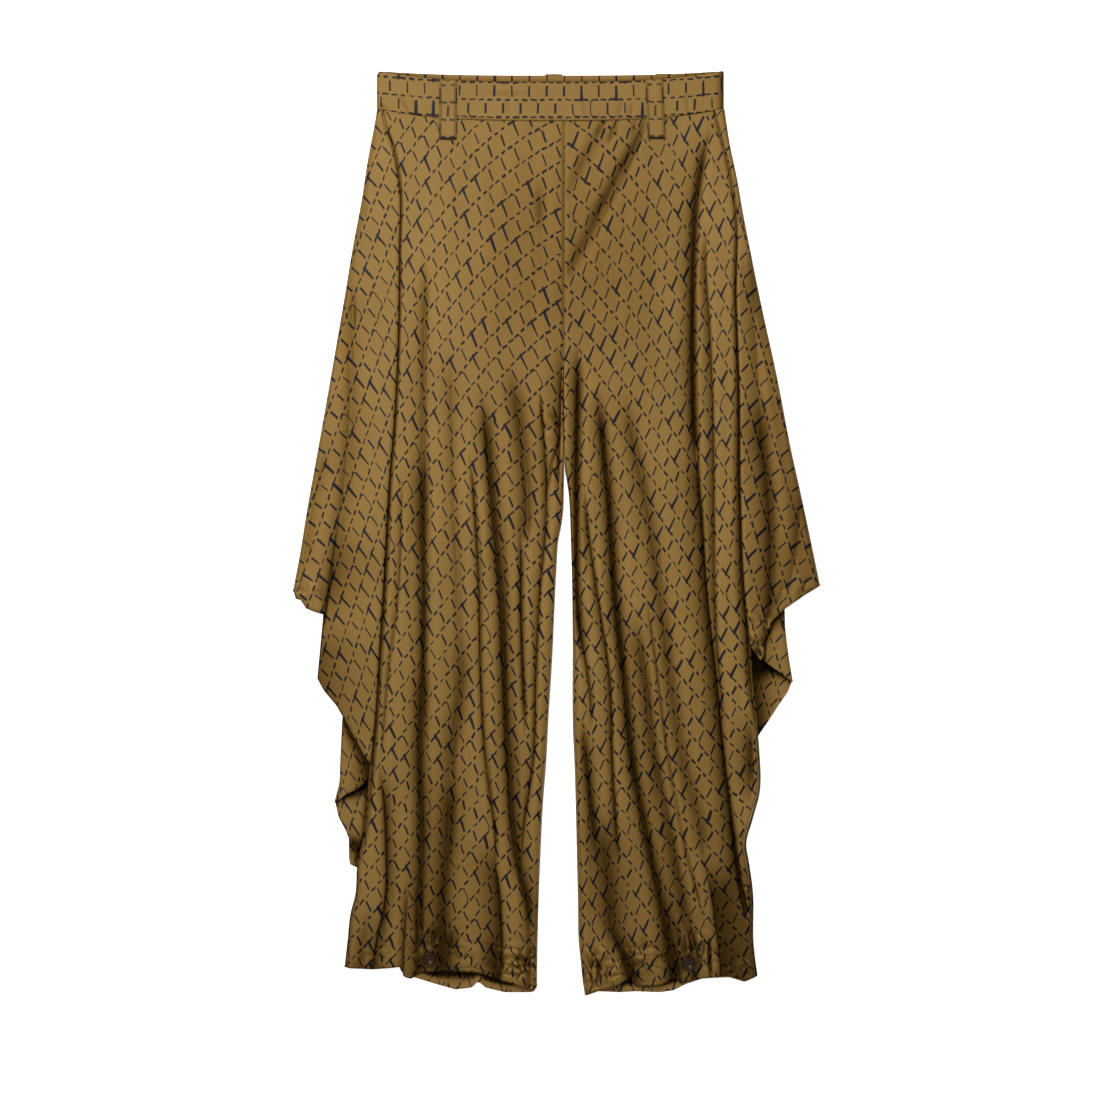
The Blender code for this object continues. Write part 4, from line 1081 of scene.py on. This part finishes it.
def add_stitches(name, lines, width, shade="dark"):
    """Threads laid between the points of each line, as one joined mesh. A line is rows of (start, end)."""
    starts, ends = [np.concatenate([line[i] for line in lines]) for i in (0, 1)]
    run = ends - starts
    side = np.cross(run, (0.0, 0.0, 1.0))
    side *= width / 2 / np.linalg.norm(side, axis=1, keepdims=True)
    up = np.array([0.0, 0.0, width / 2])
    rings = [starts + run * share + turn for share in (0.15, 0.85) for turn in (side, up, -side, -up)]
    verts = np.stack([starts] + rings + [ends], axis=1)
    faces = []
    for k in range(4):
        a, b = 1 + k, 1 + (k + 1) % 4
        faces += [(0, a, b), (a, a + 4, b + 4), (a, b + 4, b), (a + 4, 9, b + 4)]
    faces = np.array(faces)[None] + 10 * np.arange(len(verts))[:, None, None]
    piece = add_mesh(name, verts.reshape(-1, 3), faces.reshape(-1, 3), [thread_material(shade)])
    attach(piece, "root")


def measured(points):
    """Length along points, and a function that gives the place at some lengths."""
    far = np.concatenate([[0.0], np.cumsum(np.linalg.norm(np.diff(points, axis=0), axis=1))])

    def read(at):
        return np.stack([np.interp(at, far, points[:, k]) for k in range(3)], axis=1)

    return far[-1], read


def running(points, pitch, length):
    """Line of running stitches along points."""
    end, read = measured(points)
    at = np.arange(pitch, end - pitch, pitch)
    return read(at), read(at + length)


def zigzag(points, sideways, pitch):
    """Line of zigzag stitches along points, going to and fro by half of a sideways step."""
    end, read = measured(points)
    at = np.arange(pitch, end - pitch / 2, pitch)
    turns = read(at) + (np.arange(len(at)) % 2 - 0.5)[:, None] * np.asarray(sideways)
    return turns[:-1], turns[1:]


def sew_hem(name, points):
    """Running stitches along a hem, on top of the cloth."""
    line = running(points + (0.0, 0.0, HEM_LIFT), HEM_PITCH, HEM_STITCH)
    add_stitches(name, [line], HEM_THREAD)


def sew_loop(side, middle):
    """Zigzag stitches along both edges of a belt loop, and a bar of tight ones across its lower end."""
    top = middle + (0.0, 0.0, LOOP_LIFT)
    width, pitch, thread = EDGE_ZIGZAG
    edges = [zigzag(top[:, column], (width, 0.0, 0.0), pitch) for column in (1, -2)]
    add_stitches(f"front_loop_stitches_{side}", edges, thread, "bronze")
    width, pitch, thread = TACK_ZIGZAG
    bar = zigzag(top[-2], (0.0, width, 0.0), pitch)
    add_stitches(f"front_loop_tacks_{side}", [bar], thread)


def make_belt_loops():
    """Two loops over the front band and three under the back band."""
    edge, step = np.meshgrid(np.linspace(-0.5, 0.5, 13), np.linspace(0.0, 1.0, 64))
    uv = np.stack([edge * LOOP_WIDTH / BAND_CELL[0], step * LOOP_LENGTH / BAND_CELL[1] + LOOP_START,
                   OWN["loop"] + 0 * edge], axis=-1)
    thick = np.full(edge.shape, LOOP_THICK)
    # Painted shade along the loops' edges
    painted_shade = LOOP_EDGE_SHADE * (2 * np.abs(edge)) ** 6
    for side, (across, start) in FRONT_LOOPS.items():
        x = across + LOOP_WIDTH * edge + LOOP_LEAN[side] * step
        down = start + LOOP_LENGTH * step
        on_band = LEVEL + BAND_PLY * 2 + GAP + band_arch(across)
        on_leg = np.max(leg_form(side, np.abs(x), down[-1:] + 0 * x)[1]) + CLOTH / 2
        height = on_band + (on_leg - on_band) * ease((down - start - BAND_HEIGHT - LOOP_HOLD) / LOOP_FALL)
        height = height + np.sin(edge * LOOP_TURN) * waves(LOOP_WAVES, x, down)
        middle = place("right", x, down, height + GAP + CLOTH / 2)
        piece = shell(f"front_belt_loop_{side}", satins("loop", LOOP_INK), middle, thick, uv, painted_shade)
        dress(piece, f"belt_loop_front_{side}")
        sew_loop(side, middle)
    for side, (across, start) in BACK_LOOPS.items():
        middle = place("right", across + LOOP_WIDTH * edge, start + LOOP_LENGTH * step, CLOTH / 2)
        piece = shell(f"back_belt_loop_{side}", satins("loop", LOOP_INK), middle, thick, uv)
        dress(piece, f"belt_loop_back_{side}")


def add_node(tree, kind, links=(), **settings):
    """Node of some kind with its settings; links give its inputs, each a number, colour or socket."""
    node = tree.nodes.new(kind)
    for name, value in settings.items():
        setattr(node, name, value)
    for key, value in dict(links).items():
        if isinstance(value, bpy.types.NodeSocket):
            tree.links.new(value, node.inputs[key])
        else:
            node.inputs[key].default_value = value
    return node


# The printed cell, worked out step by step: (result, operation, inputs). A cell is one wide and one high.
PRINT_STEPS = (
    # The upright nearest by: its row, how far down the cell, and how far to its side
    ("row", "FLOOR", "v"), ("fall", "SUBTRACT", "v", "row"), ("shift", "MULTIPLY", "row", 0.5),
    ("us", "ADD", "u", "shift"), ("post", "ROUND", "us"), ("side", "SUBTRACT", "us", "post"),
    # The row line nearest by, its dash, and the upright that comes down to it
    ("line", "ROUND", "v"), ("off", "SUBTRACT", "v", "line"), ("twice", "MULTIPLY", "u", 2.0),
    ("run", "ADD", "twice", "line"), ("dash", "FLOOR", "run"), ("part", "SUBTRACT", "run", "dash"),
    ("above", "SUBTRACT", "line", 1.0), ("shift2", "MULTIPLY", "above", 0.5), ("us2", "ADD", "u", "shift2"),
    ("post2", "ROUND", "us2"), ("side2", "SUBTRACT", "us2", "post2"),
)
STROKE_STEPS = (
    # Dash on the row line
    ("mid", "SUBTRACT", "part", 0.5), ("mid1", "ABSOLUTE", "mid"), ("mid2", "MULTIPLY", "mid1", 0.5),
    ("length", "MULTIPLY_ADD", "dash_r", -0.08, -0.1), ("dash_x", "ADD", "mid2", "length"),
    ("tilt", "MULTIPLY_ADD", "dash_g", 0.2, -0.1), ("lean", "MULTIPLY", "tilt", "mid"),
    ("off1", "ADD", "off", "lean"), ("off2", "ABSOLUTE", "off1"),
    ("thick", "MULTIPLY_ADD", "dash_b", -0.034, -0.026), ("dash_y", "ADD", "off2", "thick"),
    ("d_dash", "MAXIMUM", "dash_x", "dash_y"),
    # Upright between two row lines, run down to the lower one where it makes a T
    ("is_t", "LESS_THAN", "post_g", 0.26), ("is_link", "GREATER_THAN", "post_g", 0.955),
    ("is_hook", "GREATER_THAN", "post_g", 0.905), ("longer", "MULTIPLY", "is_t", 0.12),
    ("mid3", "ADD", "longer", 0.5), ("fall1", "SUBTRACT", "fall", "mid3"), ("fall2", "ABSOLUTE", "fall1"),
    ("reach", "MULTIPLY_ADD", "post_r", -0.05, -0.27), ("up_y", "ADD", "fall2", "reach"),
    ("up_y1", "SUBTRACT", "up_y", "longer"),
    ("slant", "MULTIPLY_ADD", "post_b", 0.08, -0.04), ("slant1", "MULTIPLY", "slant", "fall1"),
    ("side1", "ADD", "side", "slant1"), ("side3", "ABSOLUTE", "side1"),
    ("heavy", "MULTIPLY", "is_t", "fall"), ("heavy1", "MULTIPLY_ADD", "heavy", -0.036, -0.025),
    ("heavy2", "MULTIPLY_ADD", "post_b", -0.034, "heavy1"), ("up_x", "ADD", "side3", "heavy2"),
    ("up", "MAXIMUM", "up_x", "up_y1"), ("d_up", "ADD", "up", "is_link"),
    # Bar and knot of a T, on the row line below its upright
    ("no_t", "GREATER_THAN", "post2_g", 0.26), ("bar", "SUBTRACT", "side2", 0.07),
    ("bar1", "ABSOLUTE", "bar"), ("bar_x", "SUBTRACT", "bar1", 0.29), ("off3", "ABSOLUTE", "off"),
    ("taper", "MULTIPLY_ADD", "side2", 0.045, -0.038), ("bar_y", "ADD", "off3", "taper"),
    ("bar2", "MAXIMUM", "bar_x", "bar_y"), ("sq", "MULTIPLY", "side2", "side2"),
    ("sq1", "MULTIPLY_ADD", "off", "off", "sq"), ("knot", "SQRT", "sq1"),
    ("knot1", "SUBTRACT", "knot", 0.095), ("tee", "MINIMUM", "bar2", "knot1"),
    ("d_tee", "ADD", "tee", "no_t"),
    # Rounded thin line round one side of a cell, or only its lower corner
    ("box", "SUBTRACT", "side", 0.5), ("box1", "ABSOLUTE", "box"), ("box_x", "SUBTRACT", "box1", 0.27),
    ("box_x1", "MAXIMUM", "box_x", 0.0), ("half", "SUBTRACT", "fall", 0.5), ("half1", "ABSOLUTE", "half"),
    ("box_y", "SUBTRACT", "half1", 0.27), ("box_y1", "MAXIMUM", "box_y", 0.0),
    ("sq2", "MULTIPLY", "box_x1", "box_x1"), ("sq3", "MULTIPLY_ADD", "box_y1", "box_y1", "sq2"),
    ("round", "SQRT", "sq3"), ("round1", "SUBTRACT", "round", 0.2), ("round2", "ABSOLUTE", "round1"),
    ("round3", "SUBTRACT", "round2", 0.02), ("low", "GREATER_THAN", "fall", 0.55),
    ("hooked", "MULTIPLY", "is_hook", "low"), ("linked", "MAXIMUM", "is_link", "hooked"),
    ("gone", "SUBTRACT", 1.0, "linked"), ("d_link", "ADD", "round3", "gone"),
    # All strokes
    ("ink1", "MINIMUM", "d_dash", "d_up"), ("ink2", "MINIMUM", "d_tee", "d_link"),
    ("ink3", "MINIMUM", "ink1", "ink2"),
)


def print_group():
    """Node group that draws the print from its coordinates: 1 where there is ink."""
    group = bpy.data.node_groups.get("dash and brick print")
    if group:
        return group
    group = bpy.data.node_groups.new("dash and brick print", "ShaderNodeTree")
    group.interface.new_socket("Place", in_out="INPUT", socket_type="NodeSocketVector")
    group.interface.new_socket("Ink", in_out="OUTPUT", socket_type="NodeSocketFloat")
    lay = add_node(group, "NodeGroupInput").outputs["Place"]
    # Each stroke wanders by up to a twentieth of a cell, as hand-drawn ones do
    wander = add_node(group, "ShaderNodeTexNoise", {"Vector": lay, "Scale": 1.7, "Detail": 1.0})
    moved = add_node(group, "ShaderNodeVectorMath", {0: wander.outputs["Color"], 1: (0.5, 0.5, 0.5)},
                     operation="SUBTRACT")
    moved = add_node(group, "ShaderNodeVectorMath", {0: moved.outputs[0], 1: (0.07, 0.09, 0.0), 2: lay},
                     operation="MULTIPLY_ADD")
    split = add_node(group, "ShaderNodeSeparateXYZ", {0: moved.outputs[0]})
    made = {"u": split.outputs[0], "v": split.outputs[1]}

    def work(steps):
        for name, operation, *inputs in steps:
            values = {i: made.get(value, value) for i, value in enumerate(inputs)}
            made[name] = add_node(group, "ShaderNodeMath", values, operation=operation).outputs[0]

    work(PRINT_STEPS)
    for name, row, depth in (("post", "row", 0.25), ("dash", "line", 0.5), ("post2", "above", 0.25)):
        cell = add_node(group, "ShaderNodeCombineXYZ", {0: made[name], 1: made[row], 2: depth})
        luck = add_node(group, "ShaderNodeTexWhiteNoise", {"Vector": cell.outputs[0]}, noise_dimensions="3D")
        parts = add_node(group, "ShaderNodeSeparateColor", {0: luck.outputs["Color"]})
        for i, channel in enumerate("rgb"):
            made[f"{name}_{channel}"] = parts.outputs[i]
    work(STROKE_STEPS)
    ink = add_node(group, "ShaderNodeMapRange", {0: made["ink3"], 1: 0.021, 2: 0.004, 3: 0.0, 4: 1.0})
    add_node(group, "NodeGroupOutput", {"Ink": ink.outputs[0]})
    return group


def new_material(name):
    """Empty node material with its output, and the Principled shader linked to it."""
    material = bpy.data.materials.new(name)
    material.use_nodes = True
    tree = material.node_tree
    tree.nodes.clear()
    shader = add_node(tree, "ShaderNodeBsdfPrincipled")
    add_node(tree, "ShaderNodeOutputMaterial", {"Surface": shader.outputs[0]})
    return material, tree, shader


def satin(name, colour, inked, roughness):
    """Woven silk satin: long floats that give a soft sheen, and a dark print that dulls it a little. Painted
    shade from the painted_shade attribute darkens and warms the colour and raises the metallic.
    """
    material, tree, shader = new_material(name)
    lay = add_node(tree, "ShaderNodeAttribute", attribute_name="print").outputs["Vector"]
    painted_shade = add_node(tree, "ShaderNodeAttribute", attribute_name="painted_shade").outputs["Fac"]
    base = add_node(tree, "ShaderNodeNewGeometry").outputs["Position"]
    cloud = add_node(tree, "ShaderNodeTexNoise", {"Vector": base, "Scale": 9.0, "Detail": 3.0})
    # Threads are 0.1 mm and drawn as 0.6 mm streaks, which the render can show
    stretch = add_node(tree, "ShaderNodeVectorMath", {0: lay, 1: (4.0, 32.0, 1.0)}, operation="MULTIPLY")
    threads = add_node(tree, "ShaderNodeTexNoise", {"Vector": stretch.outputs[0], "Scale": 1.0,
                                                    "Detail": 2.0})
    streak = threads.outputs[0]
    tone = add_node(tree, "ShaderNodeMapRange", {0: cloud.outputs[0], **NOISE_SPAN, 3: 0.93, 4: 1.06})
    grain = add_node(tree, "ShaderNodeMapRange", {0: streak, **NOISE_SPAN, 3: 0.94, 4: 1.06})
    # Painted shade: deep in a fold no sheen reaches the eye, so the colour is darkened where the
    # painted_shade attribute is high
    depth = add_node(tree, "ShaderNodeMapRange", {0: painted_shade, 1: 0.0, 2: 1.0, 3: 1.0, 4: 1.0 - PAINTED_SHADE_DARK},
                     clamp=False)
    both = add_node(tree, "ShaderNodeMath", {0: tone.outputs[0], 1: grain.outputs[0]}, operation="MULTIPLY")
    both = add_node(tree, "ShaderNodeMath", {0: both.outputs[0], 1: depth.outputs[0]}, operation="MULTIPLY")
    # Painted shade is tinted warmer, as light that reaches the eye from a fold has met the cloth twice
    painted_shade_colour = [value * share for value, share in zip(colour, PAINTED_SHADE_TINT)]
    tint = add_node(tree, "ShaderNodeMix", {0: painted_shade, 6: (*colour, 1.0), 7: (*painted_shade_colour, 1.0)}, data_type="RGBA")
    ink = add_node(tree, "ShaderNodeGroup", node_tree=print_group())
    tree.links.new(lay, ink.inputs[0])
    cover = add_node(tree, "ShaderNodeMath", {0: ink.outputs[0], 1: inked}, operation="MULTIPLY")
    dark = (*bpy.context.scene.pants_finishes.ink, 1.0)
    mixed = add_node(tree, "ShaderNodeMix", {0: cover.outputs[0], 6: tint.outputs[2], 7: dark},
                     data_type="RGBA")
    cloth = add_node(tree, "ShaderNodeVectorMath", {0: mixed.outputs[2], 3: both.outputs[0]},
                     operation="SCALE")
    # Painted shade also raises the metallic, so that shaded cloth gives back only its own darkened colour
    mirror = add_node(tree, "ShaderNodeMapRange", {0: painted_shade, 1: 0.0, 2: 1.0, 3: SATIN_METAL,
                                                   4: PAINTED_SHADE_METAL})
    rough = add_node(tree, "ShaderNodeMapRange", {0: streak, **NOISE_SPAN, 3: roughness - 0.04,
                                                  4: roughness + 0.04})
    bump = add_node(tree, "ShaderNodeBump", {"Height": streak, "Strength": 0.25, "Distance": 0.0002})
    for node, socket in ((cloth, "Base Color"), (mirror, "Metallic"), (rough, "Roughness"),
                         (bump, "Normal")):
        tree.links.new(node.outputs[0], shader.inputs[socket])
    shader.inputs["Specular IOR Level"].default_value = 0.15
    shader.inputs["Specular Tint"].default_value = (1.0, 0.88, 0.66, 1.0)
    return material


def satins(use, inked=1.0):
    """Right and wrong side of the satin of one use."""
    finishes = bpy.context.scene.pants_finishes
    names = (f"printed silk satin, {use}", f"silk satin wrong side, {use}")
    if names[0] not in bpy.data.materials:
        satin(names[0], finishes.satin, inked, 0.47)
        satin(names[1], finishes.wrong, WRONG_INK * inked, 0.5)
    return [bpy.data.materials[name] for name in names]


def make_studio():
    """Plain pale floor, one large soft light from the waist side, and the camera straight above."""
    look = bpy.context.scene.pants_studio
    material, tree, shader = new_material("white studio paper, lit from behind")
    grain = add_node(tree, "ShaderNodeTexNoise", {"Scale": 40.0, "Detail": 3.0})
    tone = add_node(tree, "ShaderNodeMapRange", {0: grain.outputs[0], 3: 0.9, 4: 0.94})
    tree.links.new(tone.outputs[0], shader.inputs["Base Color"])
    shader.inputs["Roughness"].default_value = 0.9
    shader.inputs["Emission Color"].default_value = (1.0, 1.0, 1.0, 1.0)
    shader.inputs["Emission Strength"].default_value = 0.5
    half = FLOOR_HALF / MM
    corners = [(-half, -half, -1), (half, -half, -1), (half, half, -1), (-half, half, -1)]
    add_mesh("floor", corners, [(0, 1, 2, 3)], [material])
    world = bpy.context.scene.world or bpy.data.worlds.new("studio air")
    bpy.context.scene.world = world
    world.use_nodes = True
    sky = world.node_tree
    sky.nodes.clear()
    way = add_node(sky, "ShaderNodeTexCoord").outputs["Generated"]
    parts = add_node(sky, "ShaderNodeSeparateXYZ", {0: way})
    # Most of the light comes from above, and a little more from the waist side
    high = add_node(sky, "ShaderNodeMapRange", {0: parts.outputs[2], 1: 0.0, 2: 0.95, 3: 0.12, 4: 1.0})
    waist = add_node(sky, "ShaderNodeMapRange", {0: parts.outputs[1], 1: -0.8, 2: 0.8, 3: 0.85, 4: 1.15})
    both = add_node(sky, "ShaderNodeMath", {0: high.outputs[0], 1: waist.outputs[0]}, operation="MULTIPLY")
    strong = add_node(sky, "ShaderNodeMath", {0: both.outputs[0], 1: look.ambient}, operation="MULTIPLY")
    glow = add_node(sky, "ShaderNodeBackground", {"Strength": strong.outputs[0]})
    glow.inputs["Color"].default_value = (1.0, 1.0, 1.0, 1.0)
    add_node(sky, "ShaderNodeOutputWorld", {"Surface": glow.outputs[0]})
    lamp = bpy.data.lights.new("key", "AREA")
    lamp.shape, lamp.size, lamp.energy = "SQUARE", KEY_SIZE, look.key
    light = bpy.data.objects.new("key", lamp)
    light.location = KEY_PLACE
    light.rotation_euler = (Vector(KEY_AIM) - light.location).to_track_quat("-Z", "Y").to_euler()
    bpy.context.scene.collection.objects.link(light)
    lens = bpy.data.cameras.new("camera")
    lens.lens, lens.sensor_width = 100.0, 36.0
    camera = bpy.data.objects.new("camera", lens)
    camera.location = (*CAMERA_PLACE, look.height)
    bpy.context.scene.collection.objects.link(camera)
    bpy.context.scene.camera = camera
    bpy.context.scene.view_settings.view_transform = "Standard"


def thread_material(shade):
    """Twisted polyester thread: fine turns along it that catch a little light, drawn as a painted highlight
    that varies its colour at random.
    """
    name = f"twisted polyester thread, {shade}"
    if name in bpy.data.materials:
        return bpy.data.materials[name]
    finishes = bpy.context.scene.pants_finishes
    material, tree, shader = new_material(name)
    base = add_node(tree, "ShaderNodeNewGeometry").outputs["Position"]
    twist = add_node(tree, "ShaderNodeTexNoise", {"Vector": base, "Scale": 900.0, "Detail": 1.0})
    tone = add_node(tree, "ShaderNodeMapRange", {0: twist.outputs[0], **NOISE_SPAN, 3: 0.7, 4: 1.3})
    thread = tuple(finishes.thread if shade == "dark" else finishes.overlock)
    colour = add_node(tree, "ShaderNodeVectorMath", {0: thread, 3: tone.outputs[0]}, operation="SCALE")
    tree.links.new(colour.outputs[0], shader.inputs["Base Color"])
    shader.inputs["Roughness"].default_value = 0.8
    shader.inputs["Specular IOR Level"].default_value = 0.1
    return material


def horn_material():
    """Polished horn: clouded dark brown under a clear gloss."""
    material, tree, shader = new_material("polished horn, turned")
    base = add_node(tree, "ShaderNodeNewGeometry").outputs["Position"]
    cloud = add_node(tree, "ShaderNodeTexNoise", {"Vector": base, "Scale": 260.0, "Detail": 4.0})
    tone = add_node(tree, "ShaderNodeMapRange", {0: cloud.outputs[0], **NOISE_SPAN, 3: 0.35, 4: 1.2})
    horn = tuple(bpy.context.scene.pants_finishes.horn)
    colour = add_node(tree, "ShaderNodeVectorMath", {0: horn, 3: tone.outputs[0]}, operation="SCALE")
    tree.links.new(colour.outputs[0], shader.inputs["Base Color"])
    shader.inputs["Roughness"].default_value = 0.1
    shader.inputs["Specular IOR Level"].default_value = 0.28
    shader.inputs["Specular Tint"].default_value = (1.0, 0.62, 0.4, 1.0)
    return material


def make_buttons():
    """Turned horn buttons with a rim and a ring round the middle."""
    material = horn_material()
    radius, rise = np.array(BUTTON_PROFILE).T
    turns = np.linspace(0.0, 2 * math.pi, BUTTON_SIDES, endpoint=False)
    for side in SIGN:
        low, high = [np.array(corner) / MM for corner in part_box(f"hem_button_{side}")]
        middle = (low + high) / 2
        up = low[2] - middle[2] + rise * (high[2] - low[2])
        ring = np.stack([np.outer(radius, np.cos(turns)), np.outer(radius, np.sin(turns)),
                         np.repeat(up[:, None], BUTTON_SIDES, 1)], axis=-1)
        verts = np.concatenate([ring.reshape(-1, 3), [[0, 0, up[0]], [0, 0, up[-1]]]]) + middle
        faces = []
        rings, last = len(radius), len(verts) - 2
        for i in range(BUTTON_SIDES):
            j = (i + 1) % BUTTON_SIDES
            faces.append((last, i, j))
            for k in range(rings - 1):
                a, b = k * BUTTON_SIDES + i, k * BUTTON_SIDES + j
                faces += [(a, a + BUTTON_SIDES, b + BUTTON_SIDES), (a, b + BUTTON_SIDES, b)]
            a, b = (rings - 1) * BUTTON_SIDES + i, (rings - 1) * BUTTON_SIDES + j
            faces.append((a, last + 1, b))
        piece = add_mesh(f"turned_hem_button_{side}", verts, faces, [material])
        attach(piece, "root")
        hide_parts(f"hem_button_{side}")


class PANTS_OT_studio(bpy.types.Operator):
    """Make the floor, the lights and the camera"""
    bl_idname = "pants.studio"
    bl_label = "Studio"

    def execute(self, context):
        make_studio()
        return {"FINISHED"}


class PANTS_OT_legs(bpy.types.Operator):
    """Make the front and back legs"""
    bl_idname = "pants.legs"
    bl_label = "Legs"

    def execute(self, context):
        for side in SIGN:
            make_leg_back(side)
            make_leg_front(side)
        return {"FINISHED"}


class PANTS_OT_drapes(bpy.types.Operator):
    """Make the side drapes"""
    bl_idname = "pants.drapes"
    bl_label = "Side drapes"

    def execute(self, context):
        for side in SIGN:
            make_drape(side)
        return {"FINISHED"}


class PANTS_OT_waist(bpy.types.Operator):
    """Make the waistband and the belt loops"""
    bl_idname = "pants.waist"
    bl_label = "Waistband and loops"

    def execute(self, context):
        make_waistband()
        make_belt_loops()
        return {"FINISHED"}


class PANTS_OT_buttons(bpy.types.Operator):
    """Finish the hem buttons"""
    bl_idname = "pants.buttons"
    bl_label = "Hem buttons"

    def execute(self, context):
        make_buttons()
        return {"FINISHED"}


class PANTS_PT_panel(bpy.types.Panel):
    """Sidebar panel with the pieces in the order in which they are made"""
    bl_label = "Palazzo Pants"
    bl_idname = "PANTS_PT_panel"
    bl_space_type = "VIEW_3D"
    bl_region_type = "UI"
    bl_category = "Pants"

    def draw(self, context):
        for operator in OPERATORS:
            self.layout.operator(operator.bl_idname)
        for group in (context.scene.pants_cloth, context.scene.pants_finishes, context.scene.pants_studio):
            for name in type(group).__annotations__:
                self.layout.prop(group, name)


GROUPS = {"pants_cloth": ClothSizes, "pants_finishes": Finishes, "pants_studio": StudioLook}
OPERATORS = (PANTS_OT_studio, PANTS_OT_legs, PANTS_OT_drapes, PANTS_OT_waist, PANTS_OT_buttons)


def register():
    for each in (*GROUPS.values(), *OPERATORS, PANTS_PT_panel):
        bpy.utils.register_class(each)
    for name, group in GROUPS.items():
        setattr(bpy.types.Scene, name, bpy.props.PointerProperty(type=group))


def unregister():
    for name in GROUPS:
        delattr(bpy.types.Scene, name)
    for each in reversed((*GROUPS.values(), *OPERATORS, PANTS_PT_panel)):
        bpy.utils.unregister_class(each)


def main():
    """Make every piece."""
    register()
    for operator in OPERATORS:
        getattr(bpy.ops.pants, operator.bl_idname.split(".")[1])()


if __name__ == "__main__":
    main()
